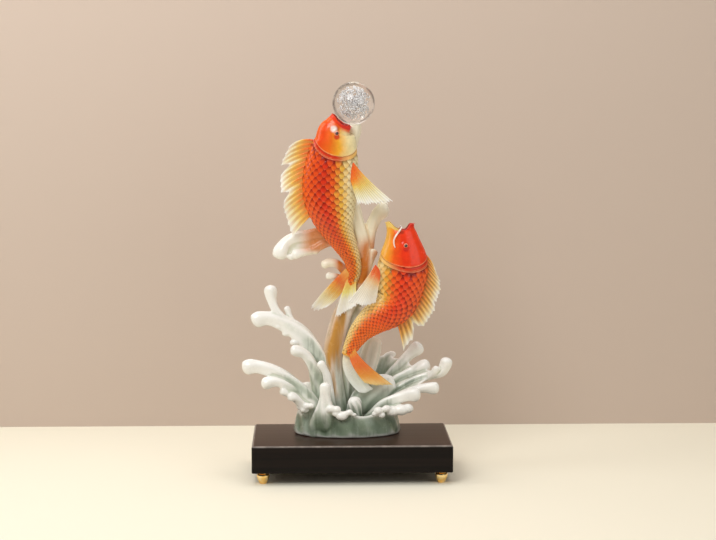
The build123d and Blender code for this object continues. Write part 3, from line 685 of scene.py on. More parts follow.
drips = [   # drops and scallops under the crests: x, y, z shares and radius in millimetres
    (-0.64, 0.5, 0.865, 4.6), (-0.56, 0.46, 0.79, 5.0), (-0.48, 0.42, 0.715, 5.2), (-0.72, 0.48, 0.925, 3.8),
    (-0.7, -0.34, 0.5, 4.2), (-0.8, -0.4, 0.565, 3.6), (-0.5, -0.22, 0.3, 4.6), (-0.92, -0.4, 0.6, 3.6),
]
for x, y, z, radius in drips:
    lowWater.take(*blobMesh(inSplash(x, y, z), radius * mm, (1.2, 0.9, 0.8)))

rimFoam = [   # large lumps on the rim: x, y, z shares, radius in millimetres and how wide
    (-0.204, -0.62, 0.272, 5.6, 1.1), (-0.148, -0.64, 0.268, 5.2, 1.05), (-0.097, -0.64, 0.212, 6.2, 1.2),
    (-0.151, -0.64, 0.232, 4.6, 1.1),
    (-0.06, -0.66, 0.232, 4.0, 1.1), (-0.021, -0.64, 0.243, 4.2, 1.0), (0.02, -0.64, 0.222, 2.6, 1.5),
    (0.227, -0.58, 0.225, 3.8, 1.0), (0.262, -0.58, 0.252, 5.6, 1.0), (0.296, -0.57, 0.214, 4.2, 1.05),
    (0.344, -0.52, 0.266, 5.0, 1.1),
    (0.403, -0.42, 0.24, 7.2, 1.15), (0.485, -0.38, 0.247, 7.8, 1.2), (0.555, -0.34, 0.257, 6.6, 1.05),
    (-0.5, -0.3, 0.276, 4.6, 1.1), (-0.445, -0.37, 0.284, 5.0, 1.05), (-0.398, -0.42, 0.288, 3.9, 1.0),
    (-0.475, -0.38, 0.252, 3.6, 1.0),
]
for x, y, z, radius, wide in rimFoam:
    lowWater.take(*blobMesh(inSplash(x, y, z), radius * mm, (wide, 0.95, 0.86)))

rearFoam = {
    "seed": 21,
    "lumps": 13,
    "size": (3.2 * mm, 5.2 * mm),
    "spread": 1.2 * mm,
    "squash": [(1.0, 1.35), (0.9, 1.1), (0.75, 0.95)],
    "route": [(0.45, 0.55, 0.23), (0.3, 1.1, 0.22), (0.05, 1.24, 0.24), (-0.25, 1.18, 0.23), (-0.48, 0.8, 0.24)],
}
dice = random.Random(rearFoam["seed"])
for point in throughPoints([inSplash(*place) for place in rearFoam["route"]], rearFoam["lumps"]):
    size = dice.uniform(*rearFoam["size"])
    centre = [c + dice.uniform(-rearFoam["spread"], rearFoam["spread"]) for c in point]
    lowWater.take(*blobMesh(centre, size, [dice.uniform(*limits) for limits in rearFoam["squash"]]))

lowSkin = fuse(lowWater, "lowWater")
lowCo = dressWater(lowSkin, lowWater, 0.5)
print("low water faces", len(lowSkin.data.polygons))

print("water: column and upper splashes")
columnRoute = scaled([
    (-0.13, 0.38, 0.02, 1.35), (-0.15, 0.4, 0.07, 1.15), (-0.165, 0.42, 0.12, 1.0), (-0.185, 0.5, 0.2, 0.92),
    (-0.15, 0.6, 0.28, 0.95), (-0.05, 0.72, 0.37, 1.0), (0.07, 0.8, 0.44, 0.92), (0.13, 0.8, 0.51, 0.8),
    (0.11, 0.78, 0.58, 0.72), (0.04, 0.76, 0.66, 0.7), (-0.02, 0.74, 0.76, 0.64), (0.0, 0.66, 0.85, 0.64),
    (0.03, 0.53, 0.905, 0.75), (0.03, 0.52, 0.925, 0.8),
], onColumn)
upperLimbs = {   # places, width and depth in millimetres, then how each is worked
    "left": ([
        (0.1, 0.8, 0.545, 1.5), (0.0, 0.8, 0.572, 1.3), (-0.14, 0.79, 0.588, 1.15), (-0.28, 0.79, 0.6, 1.05),
        (-0.42, 0.78, 0.593, 1.0),
        (-0.55, 0.76, 0.586, 0.95), (-0.635, 0.74, 0.57, 1.0), (-0.69, 0.71, 0.543, 1.05), (-0.705, 0.7, 0.522, 1.0),
    ], 15, 11, {"ridges": 4, "hollow": 0.2, "hollowAt": 2.8}),
    "leftSecond": ([
        (-0.12, 0.78, 0.578, 1.1), (-0.25, 0.73, 0.568, 0.95), (-0.37, 0.69, 0.55, 0.9), (-0.48, 0.66, 0.543, 0.9),
        (-0.585, 0.65, 0.534, 1.0),
    ], 10, 8, {"ridges": 3}),
    "curl": ([
        (0.1, 0.8, 0.43, 1.3), (0.01, 0.8, 0.455, 1.2), (-0.06, 0.8, 0.487, 1.05),
        (-0.13, 0.78, 0.507, 0.95), (-0.21, 0.75, 0.512, 0.9), (-0.29, 0.73, 0.502, 0.95),
    ], 11, 9, {"ridges": 4, "knob": 0.04}),
    "curlSecond": ([(0.03, 0.79, 0.443, 1.1), (-0.11, 0.67, 0.468, 0.9), (-0.25, 0.6, 0.475, 0.95)], 9, 7,
                   {"ridges": 3, "start": 0.5, "knob": 0.04}),
    "right": ([
        (0.12, 0.8, 0.49, 1.3), (0.165, 0.85, 0.56, 1.15), (0.205, 0.86, 0.612, 1.05),
        (0.262, 0.86, 0.65, 1.02), (0.325, 0.86, 0.671, 1.02), (0.378, 0.86, 0.68, 1.05),
    ], 15, 11, {"ridges": 3}),
    "rightSmall": ([(0.14, 0.74, 0.48, 1.3), (0.2, 0.64, 0.52, 1.0), (0.238, 0.62, 0.555, 0.85)], 9, 8,
                   {"ridges": 3}),
    "support": ([(0.05, 0.8, 0.415, 1.3), (0.2, 0.78, 0.413, 1.0), (0.34, 0.6, 0.44, 1.0)], 19, 15,
                {"ridges": 4, "knob": 0}),
}
upperRoutes = {name: scaled(limb[0], onColumn) for name, limb in upperLimbs.items()}
columnSheets = [
    ([(-0.112, 0.5, 0.07, 0.75), (-0.098, 0.55, 0.165, 1.0), (-0.092, 0.6, 0.246, 1.15), (-0.05, 0.66, 0.29, 1.35),
      (0.04, 0.72, 0.34, 1.5),
      (0.12, 0.76, 0.378, 1.05)], 27, 7),
    ([(0.02, 0.6, 0.05, 1.0), (-0.02, 0.62, 0.16, 0.9), (0.03, 0.66, 0.25, 1.0), (0.13, 0.7, 0.33, 1.1),
      (0.17, 0.72, 0.365, 1.0)], 20, 8),
    ([(0.05, 0.62, 0.06, 1.0), (0.12, 0.78, 0.14, 1.0), (0.17, 0.88, 0.2, 1.15), (0.22, 0.94, 0.25, 1.1),
      (0.255, 0.96, 0.285, 0.7)], 20, 7),
]
upperWater = Gathered()
for route, width, depth in columnSheets:
    upperWater.take(*limbMesh(scaled(route, onColumn), width * mm, depth * mm, 7, 0.1, 0.5, knob=0))
upperWater.take(*limbMesh(columnRoute, 25 * mm, 20 * mm, 5, 0.075, 3.0, knob=0))
for limbName, (_, width, depth, work) in upperLimbs.items():
    upperWater.take(*limbMesh(upperRoutes[limbName], width * mm, depth * mm, **work))
upperWater.take(*webMesh(upperRoutes["leftSecond"], upperRoutes["left"], 4.5 * mm, 0.9, 0.05))
scallops = [(-0.3, 0.7, 0.561, 3.4), (-0.345, 0.68, 0.547, 3.9), (-0.47, 0.66, 0.541, 4.0),
            (-0.54, 0.655, 0.538, 3.2), (-0.59, 0.65, 0.531, 4.2)]
for x, y, z, radius in scallops:
    upperWater.take(*blobMesh(onColumn(x, y, z), radius * mm, (1.1, 0.9, 1.0)))

# the seat flares out of the column's top and is dished for the ball
ballLow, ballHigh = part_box("crystal_ball")
ballCentre = (ballLow + ballHigh) / 2
ballRadius = (ballHigh.z - ballLow.z) / 2
ballClear = ballRadius + 0.35 * mm
seatLow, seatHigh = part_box("ball_seat")
seatX, seatY = (seatLow.x + seatHigh.x) / 2, (seatLow.y + seatHigh.y) / 2
seatRoute = [(*columnRoute[-3][:3], 0.78), (seatX, seatY, seatLow.z, 0.92), (seatX, seatY, seatHigh.z - 2 * mm, 1.2),
             (seatX, seatY, seatHigh.z + 3 * mm, 1.4)]
upperWater.take(*limbMesh(seatRoute, 18 * mm, 18 * mm, 6, 0.05, 0.3, knob=0))
upperSkin = fuse(upperWater, "upperWater")
for vertex in upperSkin.data.vertices:
    away = vertex.co - ballCentre
    if away.length < ballClear:
        vertex.co = ballCentre + away.normalized() * ballClear
upperCo = dressWater(upperSkin, upperWater, 0.35)
print("upper water faces", len(upperSkin.data.polygons))


def waterMaterial(look):
    mat, tree, shader = newMaterial("celadonWater")
    glaze = useGlaze(tree, shader, 60.0, 0.16, 0.34)
    raised, white, amber, cream = (readAttribute(tree, name) for name in ("raised", "white", "amber", "cream"))
    level = splitOf(tree, placeOf(tree))["Z"]
    above = rangeOf(tree, level, 0.064, 0.098)
    green = mixColours(tree, rangeOf(tree, raised, 0.3, 0.62),
                       mixColours(tree, above, look["deepGreen"], look["deepLight"]),
                       mixColours(tree, above, look["paleGreen"], look["paleLight"]))
    lighter = rangeOf(tree, noiseOf(tree, 38.0, 4.0, (1, 1, 0.5)), 0.42, 0.68)
    green = mixColours(tree, times(tree, lighter, 0.35), green, look["wash"])
    crest = calc(tree, "ADD", white, times(tree, rangeOf(tree, raised, 0.56, 0.82), 0.55), True)
    hollow = mixColours(tree, cream, look["whiteHollow"], look["creamHollow"])
    shade = mixColours(tree, rangeOf(tree, raised, 0.28, 0.52), hollow, (1, 1, 1))
    pale = mixColours(tree, 1.0, mixColours(tree, cream, look["white"], look["cream"]), shade, "MULTIPLY")
    colour = mixColours(tree, crest, green, pale)
    streak = rangeOf(tree, noiseOf(tree, 55.0, 3.0, (1, 1, 0.16)), 0.24, 0.52)
    warm = mixColours(tree, rangeOf(tree, level, 0.205, 0.235), look["amber"], look["amberHigh"])
    colour = mixColours(tree, times(tree, amber, streak), colour, warm)
    flow = rangeOf(tree, noiseOf(tree, 150.0, 2.0, (1, 1, 0.14)), 0.5, 0.63, 0.0, 0.42)
    colour = mixColours(tree, times(tree, flow, calc(tree, "SUBTRACT", 1.0, crest)), colour, look["flowLine"])
    feed(tree, shader, {"Base Color": colour, "Coat Weight": 0.35, "Coat Roughness": 0.08})
    bump(tree, shader, glaze["Height"], 0.04, 0.0004)
    return mat


# amber runs down the column and the roots of the upper splashes; cream is the warm white up there
zones = {   # in metres: strength, the levels that each zone rises and falls over, and the sides
    "amber": [(0.5, (0.112, 0.135, 0.185, 0.215), (-0.004, -0.012)),
              (0.75, (0.205, 0.222, 0.262, 0.285), (-0.022, -0.004)),
              (0.9, (0.222, 0.23, 0.248, 0.256), (-0.024, -0.01)), (0.5, (0.24, 0.25, 0.268, 0.285), (0.012, 0.02))],
    "streak": [(-0.01, 0.186), (-0.016, 0.162), (-0.0215, 0.142), (-0.019, 0.118), (-0.02, 0.094)],
    "streakWide": 7.0 * mm,
}


def colourUpper(mesh, co):
    x, _, z = co.T
    amber = sum(strength * plateau(z, *levels) * smoothStep(*sides, x) for strength, levels, sides in zones["amber"])
    streak = throughPoints(zones["streak"], 60)
    away = np.sqrt(((co[:, None, [0, 2]] - streak[None]) ** 2).sum(2)).min(1)
    arm = smoothStep(0.258, 0.266, z) * plateau(x, -0.066, -0.045, -0.014, -0.004) * (z < 0.3)
    sheet = smoothStep(0.006, 0.016, x) * smoothStep(0.09, 0.12, z)
    cream = smoothStep(0.2, 0.26, z) * (1 - 0.7 * smoothStep(0.035, 0.065, np.abs(x)))
    white = np.maximum(smoothStep(0.19, 0.25, z), 0.62 * smoothStep(0.075, 0.13, z))
    writeAttributes(mesh, amber=np.clip(amber + bell(away, 0, zones["streakWide"]) + 0.9 * arm, 0, 1),
                    cream=np.maximum(cream, 0.6 * sheet), white=np.maximum(white, 0.8 * sheet))


water = waterMaterial(waterLook)
writeAttributes(lowSkin.data, amber=np.zeros(len(lowCo)), cream=np.full(len(lowCo), 0.1))
colourUpper(upperSkin.data, upperCo)
for skin in (lowSkin, upperSkin):
    skin.data.materials.clear()
    skin.data.materials.append(water)
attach(lowSkin, "figure")
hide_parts("wave_base",
            *[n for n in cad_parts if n.startswith(("splash_", "foam_")) and "upper" not in n])
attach(upperSkin, "figure")
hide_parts("column_lower", "column_upper", "ball_seat", "carp_support",
            *[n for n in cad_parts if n.startswith("splash_upper")])

# Carp

carpShapes = {
    "upper": {
        "root": (-0.0025, 0.024, bench["zero"] + 0.177),
        "length": 0.214, "height": 0.061, "width": 0.035,
        "belly": 1,
        # x, y, z shares of the length, then tall and thick shares
        "rows": [
            (0.004, 0.0, 0.0, 0.19, 0.26), (0.03, 0.0, 0.079, 0.26, 0.34), (0.018, -0.008, 0.154, 0.33, 0.44),
            (-0.017, -0.018, 0.229, 0.44, 0.58), (-0.058, -0.03, 0.311, 0.61, 0.78),
            (-0.085, -0.04, 0.395, 0.84, 0.95),
            (-0.102, -0.045, 0.498, 1.03, 1.0), (-0.1, -0.05, 0.61, 1.06, 0.98), (-0.088, -0.06, 0.72, 0.97, 0.9),
            (-0.075, -0.075, 0.81, 0.8, 0.76), (-0.074, -0.082, 0.858, 0.65, 0.62), (-0.06, -0.088, 0.89, 0.5, 0.5),
            (-0.0434, -0.092, 0.916, 0.37, 0.4),
        ],
        "gill": 0.81, "gillBow": 0.07, "gillLean": -0.016, "collar": 6.0,
        "lipTilt": 0.6, "notch": 1.5, "flare": 0.06, "lipRise": 0.8, "throat": 7.0,
        "eye": (-0.066, -0.084, 0.855), "eyeOut": 0.61,
        "turns": (0.13, 0.3, 0.44, 0.6), "scaleFrom": 0.024, "around": 19,
        "tones": {"back": (0.72, 0.028, 0.005), "flank": (0.86, 0.13, 0.01), "gold": (0.88, 0.5, 0.06),
                  "belly": (0.88, 0.78, 0.48)},
        "face": [(0.0, (0.9, 0.8, 0.5)), (0.2, (0.9, 0.72, 0.34)), (0.4, (0.9, 0.42, 0.03)),
                 (0.58, (0.86, 0.16, 0.01)), (0.85, (0.84, 0.07, 0.008)), (1.0, (0.86, 0.13, 0.012))],
        "lips": ((0.74, 0.02, 0.008), (0.8, 0.05, 0.01)), "muzzle": 0.9, "palePatch": 1.0,
    },
    "lower": {
        "root": (-0.005, 0.002, bench["zero"] + 0.0965),
        "length": 0.19, "height": 0.064, "width": 0.036,
        "belly": -1,
        "rows": [
            (0.0, 0.0, 0.0, 0.19, 0.26), (0.034, 0.008, 0.068, 0.29, 0.36), (0.093, 0.016, 0.156, 0.42, 0.5),
            (0.178, 0.024, 0.23, 0.57, 0.68), (0.267, 0.032, 0.28, 0.66, 0.82), (0.317, 0.036, 0.342, 0.77, 0.94),
            (0.337, 0.036, 0.442, 0.88, 1.0), (0.35, 0.036, 0.547, 0.93, 0.97), (0.35, 0.034, 0.632, 0.83, 0.88),
            (0.344, 0.032, 0.724, 0.61, 0.72), (0.336, 0.032, 0.782, 0.49, 0.58), (0.332, 0.032, 0.815, 0.41, 0.48),
        ],
        "gill": 0.735, "gillBow": 0.07, "gillLean": 0.02, "collar": 6.0,
        "lipTilt": -2.6, "notch": 6.0, "flare": 0.12, "lipRise": 1.6, "throat": 13.0,
        "eye": (0.364, 0.033, 0.694), "eyeOut": 0.77,
        "turns": (0.05, 0.16, 0.3, 0.54), "scaleFrom": 0.024, "around": 18,
        "tones": {"back": (0.86, 0.045, 0.008), "flank": (0.9, 0.13, 0.012), "gold": (0.88, 0.42, 0.05),
                  "belly": (0.88, 0.68, 0.3)},
        "face": [(0.0, (0.88, 0.5, 0.1)), (0.13, (0.88, 0.36, 0.03)), (0.3, (0.87, 0.11, 0.008)),
                 (0.5, (0.86, 0.04, 0.006)), (1.0, (0.86, 0.05, 0.007))],
        "lips": ((0.9, 0.62, 0.16), (0.82, 0.03, 0.01)), "muzzle": 0.0, "palePatch": 0.0,
    },
}


class CarpForm:
    # the swept skin of one carp: t runs from the tail root to the lips, the angle from belly over
    # the near flank to the back
    def __init__(self, shape):
        self.shape = shape
        rows = throughPoints(shape["rows"], 400)
        self.centre = np.array(shape["root"]) + rows[:, :3] * shape["length"]
        self.heading, side, across = framesAlong(self.centre)
        self.toBelly, self.toNear = side * shape["belly"], -across
        self.tall = rows[:, 3] * shape["height"] / 2
        self.thick = rows[:, 4] * shape["width"] / 2
        travel = travelAlong(self.centre)
        self.total = travel[-1]
        self.station = travel / self.total

    def at(self, t, table):
        if table.ndim == 1:
            return np.interp(t, self.station, table)
        return np.stack([np.interp(t, self.station, column) for column in table.T], -1)

    def pastGill(self, t, angle):
        # millimetres past the end of the gill cover, which bows to the tail on the flank
        shape = self.shape
        line = shape["gill"] + shape["gillBow"] * (1 - np.abs(np.sin(angle)) ** 1.4) + shape["gillLean"] * np.cos(angle)
        return (t - line) * self.total / mm

    def skin(self, t, angle):
        # arrays of t and angle to points
        tall, thick = self.at(t, self.tall), self.at(t, self.thick)
        past = self.pastGill(t, angle)
        collar = past + self.shape["collar"]
        plate = (0.55 * smoothStep(-0.2, 0.35, past) - 0.5 * bell(past, -0.5, 0.5)
                 + 0.5 * smoothStep(-0.2, 0.3, collar) - 0.4 * bell(collar, -0.4, 0.4)) * mm
        raised = plate + 0.7 * mm * bell((1 - t) * self.total, 0, 1.6 * mm)
        cosine, sine = np.cos(angle), np.sin(angle)
        # the back is a little keeled, the belly full
        keel = 1 - 0.08 * np.clip(-cosine, 0, 1) ** 2
        a = (tall + raised) * cosine
        b = (thick * keel + raised) * np.sign(sine) * np.abs(sine) ** 0.92
        return self.at(t, self.centre) + a[..., None] * self.at(t, self.toBelly) + b[..., None] * self.at(t,
                                                                                                          self.toNear)

    def eyePlaces(self):
        shape = self.shape
        middle = np.array(shape["root"]) + np.array(shape["eye"]) * shape["length"]
        out = np.array((0, shape["eyeOut"] * shape["width"] / 2, 0))
        return [(middle - out, -1), (middle + out, 1)]


carpPaint = {   # where there are two, at the belly and at the back
    "outline": ((0.92, 0.62, 0.22), (0.94, 0.62, 0.2)),     # of the scales, at the head and at the tail
    # painted shade: darker where each scale's root lies under its neighbours
    "scaleDark": ((0.3, 0.17, 0.03), (0.24, 0.006, 0.002)),
    "tailScale": ((0.88, 0.62, 0.24), (0.88, 0.24, 0.02)),
    "gap": ((0.26, 0.16, 0.04), (0.2, 0.008, 0.003)),       # between the scales
    "ridge": (0.88, 0.26, 0.02),
    "tailEnd": (0.88, 0.4, 0.05),
    "collar": ((0.9, 0.55, 0.16), (0.66, 0.035, 0.008)),
    "line": (0.92, 0.55, 0.25),
    # painted shade in the gill creases and the mouth corners
    "groove": (0.35, 0.03, 0.01),
    "muzzle": (0.86, 0.12, 0.012),
    "mouth": (0.22, 0.006, 0.006),
    "palePatch": (0.95, 0.88, 0.82),
    "redPatch": (0.62, 0.015, 0.01),
}


def carpMaterial(name, form, isScale):
    # reds over the back, gold along the flank and cream on the belly, from stored attributes
    mat, tree, shader = newMaterial(name)
    shape, paint = form.shape, carpPaint
    glaze = useGlaze(tree, shader, 120.0, 0.14, 0.3)
    up = readAttribute(tree, "toBack")          # 0 belly, 1 back
    along = readAttribute(tree, "lengthwise")   # 0 tail, 1 lips
    place = calc(tree, "ADD", up, wanderOf(tree, noiseOf(tree, 70.0), 0.16))

    def byHeight(low, high, below, above):
        return mixColours(tree, rangeOf(tree, place, low, high), below, above)

    steps = [0.0, *shape["turns"], 1.0]
    order = ("belly", "belly", "gold", "flank", "back", "flank")
    colour = ramp(tree, place, [(step, shape["tones"][tone]) for step, tone in zip(steps, order)])
    if isScale:
        toTail = rangeOf(tree, along, 0.12, 0.5, 1.0, 0.0)
        outline = mixColours(tree, toTail, mixColours(tree, 0.5, colour, paint["outline"][0]), paint["outline"][1])
        # painted shade at the roots and sides of the scales, where the plates overlap
        dark = byHeight(0.18, 0.42, *paint["scaleDark"])
        deep = mixColours(tree, times(tree, toTail, 0.55), colour, byHeight(0.12, 0.4, *paint["tailScale"]))
        colour = mixColours(tree, times(tree, readAttribute(tree, "shade"), 0.92), deep, dark)
        rim = times(tree, rangeOf(tree, readAttribute(tree, "rim"), 0.35, 0.9),
                    rangeOf(tree, along, 0.25, 0.75, 0.9, 0.3))
        colour = mixColours(tree, rim, colour, outline)
    else:
        gap = byHeight(0.25, 0.5, *paint["gap"])
        coat = mixColours(tree, rangeOf(tree, up, 0.93, 0.975), gap, paint["ridge"])
        coat = mixColours(tree, rangeOf(tree, along, 0.05, 0.13, 1.0, 0.0), coat, paint["tailEnd"])
        colour = mixColours(tree, readAttribute(tree, "head"), coat, ramp(tree, place, shape["face"]))
        layers = [("collar", 1.0, byHeight(0.1, 0.45, *paint["collar"])), ("line", 0.6, paint["line"]),
                  ("groove", 0.75, paint["groove"]), ("muzzle", shape["muzzle"], paint["muzzle"]),
                  ("lip", 1.0, mixColours(tree, rangeOf(tree, up, 0.35, 0.6), *shape["lips"])),
                  ("mouth", 1.0, paint["mouth"]), ("palePatch", 0.85, paint["palePatch"]),
                  ("redPatch", 0.85, paint["redPatch"])]
        for layer, strength, tone in layers:
            colour = mixColours(tree, times(tree, readAttribute(tree, layer), strength), colour, tone)
    tinted = addNode(tree, "ShaderNodeHueSaturation", {
        "Color": colour, "Value": rangeOf(tree, glaze["Mottle"], 0.3, 0.7, 0.9, 1.06)}).outputs["Color"]
    feed(tree, shader, {"Base Color": tinted, "Specular IOR Level": 0.3, "Coat Weight": 0.22, "Coat Roughness": 0.05})
    bump(tree, shader, glaze["Height"], 0.05, 0.0003)
    return mat


mouthRoll = [   # how far ahead, in millimetres, and how wide the lip is as it rolls over and down the throat
    (0.4, 1.0), (0.8, 1.03), (1.1, 1.045), (1.35, 1.03), (1.45, 0.985), (1.35, 0.94), (1.0, 0.9), (0.2, 0.86),
    (-1.2, 0.82), (-3.0, 0.76), (-5.0, 0.68), (-7.0, 0.56), (-8.6, 0.4), (-9.6, 0.2), (-9.8, 0.05),
]


def makeBody(key, form):
    shape = form.shape
    around, rings = 144, 230
    angle = anglesRound(around)
    tGrid, aGrid = np.meshgrid(np.linspace(0, 1, rings), angle, indexing="ij")
    grid = form.skin(tGrid, aGrid)
    centre, heading = form.centre[-1], form.heading[-1]
    ring = grid[-1] - centre
    flat = np.abs(np.cos(angle))
    flare = shape["flare"] * smoothStep(0.25, 0.95, flat)
    tilt = shape["lipTilt"] * -np.sin(np.pi / 2 * np.clip(np.cos(angle) * 1.25, -1, 1))
    notch = shape["notch"] * smoothStep(0.62, 1.0, np.abs(np.sin(angle)))
    lift = (tilt - notch + shape["lipRise"] * smoothStep(0.2, 0.75, flat))[:, None] * mm
    near = smoothStep(1 - 9 * mm / form.total, 1.0, tGrid)[..., None] ** 2
    grid += near * lift * heading
    grid += near * flare[:, None] * (grid[-1] - centre - lift * heading)
    rolls = []
    for ahead, wide in mouthRoll:
        depth = ahead if ahead > 0 else ahead * shape["throat"] / -mouthRoll[-1][0]
        follow = 1.0 if ahead > -1 else max(0.0, 1 + ahead / 6)
        rolls.append(centre + ring * (wide * (1 + flare * follow))[:, None] + (lift * follow + depth * mm) * heading)
    whole = np.concatenate([grid, np.array(rolls)])
    points = whole.reshape(-1, 3)
    obj = meshFrom(key + "CarpBody", points, ringFaces(len(whole), around))
    mesh = obj.data
    t = np.concatenate([tGrid, np.ones((len(rolls), around))]).ravel()
    angles, row = np.tile(angle, len(whole)), np.repeat(np.arange(len(whole)), around)
    past = form.pastGill(t, angles)
    collar = past + shape["collar"]
    crease = (t - 1) * form.total / mm
    head = smoothStep(-0.2, 0.2, past)
    line = bell(past, 1.0, 0.35) + bell(collar, 0.9, 0.35) + 0.6 * bell(collar, 2.4, 0.3)
    # painted shade along the gill-cover creases and in the corners of the mouth
    corner = bell(np.abs(np.sin(angles)), 1, 0.02) * smoothStep(-11, -8, crease) * (row < rings)
    groove = bell(past, -0.5, 0.4) + 0.7 * bell(collar, -0.5, 0.45) + corner
    pale, blush = np.zeros(len(points)), np.zeros(len(points))
    for place, outwards in form.eyePlaces():
        away = np.linalg.norm(points - place, axis=1)
        side = outwards == np.sign(points[:, 1] - centre[1])
        patch = np.linalg.norm(points - (place + np.array((-3.6, 0, 5.0)) * mm), axis=1) / mm
        pale = np.maximum(pale, (1 - smoothStep(2.2, 5.2, patch)) * side * shape["palePatch"])
        drop = np.linalg.norm(points - (place - np.array((0, 0, 4.4)) * mm), axis=1) / mm
        blush = np.maximum(blush, (1 - smoothStep(2.6, 4.4, drop)) * side)
        # the socket: a soft ring round the eye
        points = points + (0.7 * mm * bell(away, 4.0 * mm, 1.0 * mm))[:, None] * np.array((0, outwards, 0))
    writeAttributes(mesh, lengthwise=t, toBack=(1 - np.cos(angles)) / 2, head=head,
                    collar=smoothStep(-0.2, 0.2, collar) * (1 - head), line=np.clip(line, 0, 1),
                    groove=np.clip(groove, 0, 1), lip=smoothStep(-3.4, -2.4, crease),
                    muzzle=smoothStep(-8.5, -4.0, crease), mouth=smoothStep(rings + 5, rings + 8, row),
                    palePatch=pale, redPatch=blush)
    mesh.vertices.foreach_set("co", points.astype(np.float32).ravel())
    mesh.materials.append(carpMaterial(key + "CarpPaint", form, False))
    mesh.update()
    outward(obj)
    return obj


def makeScalePlate():
    # one rounded-diamond scale, 1 long and 1 wide, raised toward its free edge (+X)
    outline = [(-0.62, 0.22), (-0.3, 0.44), (-0.06, 0.51), (0.16, 0.49), (0.36, 0.38), (0.52, 0.22), (0.62, 0.07)]
    columns, points, shade, rim = 7, [], [], []
    for i, (x, half) in enumerate(outline):
        share = i / (len(outline) - 1)
        for j in range(columns):
            v = j / (columns - 1) * 2 - 1
            crown = 0.24 * (1 - v * v) * math.sin(math.pi * (0.12 + 0.76 * share)) + 0.15 * share - 0.13
            points.append((x, half * v, crown))
            # shade marks the painted shade at the plate's root and sides, where neighbours overlap it
            shade.append(max(1 - smoothStep(0.22, 0.46, share),
                             smoothStep(0.62, 1.0, abs(v)) * (1 - smoothStep(0.7, 0.95, share))))
            rim.append(max(smoothStep(0.72, 1.0, share), smoothStep(0.6, 1.0, abs(v)) * smoothStep(0.35, 0.6, share)))
    top, edge = len(points), rimOf(len(outline), columns)
    under = [top + k for k in range(len(edge))]
    points += [(points[k][0] * 0.96, points[k][1] * 0.96, points[k][2] - 0.14) for k in edge]
    faces = [(a, d, c, b) for a, b, c, d in gridFaces(len(outline), columns)]
    faces += [(a, b, d, c) for a, b, c, d in zip(edge, edge[1:] + edge[:1], under, under[1:] + under[:1])]
    obj = meshFrom("scalePlate", points, faces + [tuple(under)])
    writeAttributes(obj.data, shade=shade + [1.0] * len(edge), rim=rim + [0.3] * len(edge))
    outward(obj)
    return obj


def buildScaleCoat():
    # lays a plate on every seed: a seed's x, y is its place in the chart, wide and long its size
    group, entry, leave = geometryGroup("scaleCoat", {
        "Chart": "Object", "Plate": "Object", "Plate Thickness": 0.004, "Uneven Size": 0.06, "Seed": 7,
        "Paint": "Material"})
    chart, plate = (geometryOf(group, entry[name]) for name in ("Chart", "Plate"))
    place = addNode(group, "GeometryNodeInputPosition").outputs[0]
    normal = addNode(group, "GeometryNodeInputNormal").outputs["Normal"]
    points, uv = capture(group, entry["Geometry"], place)
    here = sampleChart(group, chart, place, uv)
    behind = sampleChart(group, chart, place, vectorCalc(group, "ADD", {0: uv, 1: (-0.012, 0, 0)}))
    lean = sampleChart(group, chart, normal, uv)
    turn = addNode(group, "FunctionNodeAxesToRotation", {
        0: lean, 1: vectorCalc(group, "SUBTRACT", {0: behind, 1: here})}, primary_axis="Z", secondary_axis="X")
    uneven = randomOf(group, "FLOAT", {"Seed": entry["Seed"], 2: calc(group, "SUBTRACT", 1.0, entry["Uneven Size"]),
                                       3: calc(group, "ADD", 1.0, entry["Uneven Size"])})[1]
    size = addNode(group, "ShaderNodeCombineXYZ", {
        0: times(group, namedValue(group, "long"), uneven), 1: namedValue(group, "wide"),
        2: entry["Plate Thickness"]})
    stood = standOn(group, moveTo(group, points, here), plate,
                    {"Rotation": turn.outputs[0], "Scale": size.outputs[0]})
    endGroup(group, leave, stood, entry["Paint"])
    return group


scaleLook = {
    "thickness": 0.0042,
    "uneven": 0.05,
    "seed": 11,
    "wide": 1.12,       # size over spacing
    "long": 1.2,
    "step": 0.56,       # spacing along over spacing round
    "narrow": ((54, 14), (40, 11), (0, 8)),     # girth in millimetres and how many in a ring, so they stay large
}
scaleCoat = buildScaleCoat()


def makeScales(key, form, plate):
    shape = form.shape
    u, v = np.meshgrid(np.linspace(0.02, 0.98, 200), np.linspace(0, 1, 97), indexing="ij")
    chart = chartMesh(key + "Chart", form.skin(u, v * 2 * math.pi), u, v, shape["belly"] > 0)
    rows = []
    t, row = shape["scaleFrom"], 0
    while t < 0.97:
        tall, thick = (form.at(np.array([t]), table)[0] for table in (form.tall, form.thick))
        girth = math.pi * (3 * (tall + thick) - math.sqrt((3 * tall + thick) * (tall + 3 * thick)))
        count = next(count for least, count in ((70, shape["around"]), *scaleLook["narrow"]) if girth >= least * mm)
        width = girth / count
        for k in range(count):
            share = ((k + 0.5 * (row % 2)) / count) % 1.0
            angle = 2 * math.pi * share
            past = form.pastGill(t, angle) + shape["collar"]
            if past * mm > -0.05 * width or abs(math.cos(angle) + 1) < 0.035:
                continue
            rows.append((t, min(max(share, 0.001), 0.999), 0, width, (1 - math.cos(angle)) / 2))
        t += scaleLook["step"] * width / form.total
        row += 1
    table = np.array(rows)
    seeds = meshFrom(key + "Seeds", table[:, :3])
    writeAttributes(seeds.data, wide=table[:, 3] * scaleLook["wide"], long=table[:, 3] * scaleLook["long"],
                    toBack=table[:, 4], lengthwise=table[:, 0])
    scales = grow(seeds, scaleCoat, key + "CarpScales", {
        "Chart": chart, "Plate": plate, "Plate Thickness": scaleLook["thickness"], "Uneven Size": scaleLook["uneven"],
        "Seed": scaleLook["seed"], "Paint": carpMaterial(key + "CarpScalePaint", form, True)})
    discard(chart)
    print(key, "carp scales", len(rows), "faces", len(scales.data.polygons))
    return scales


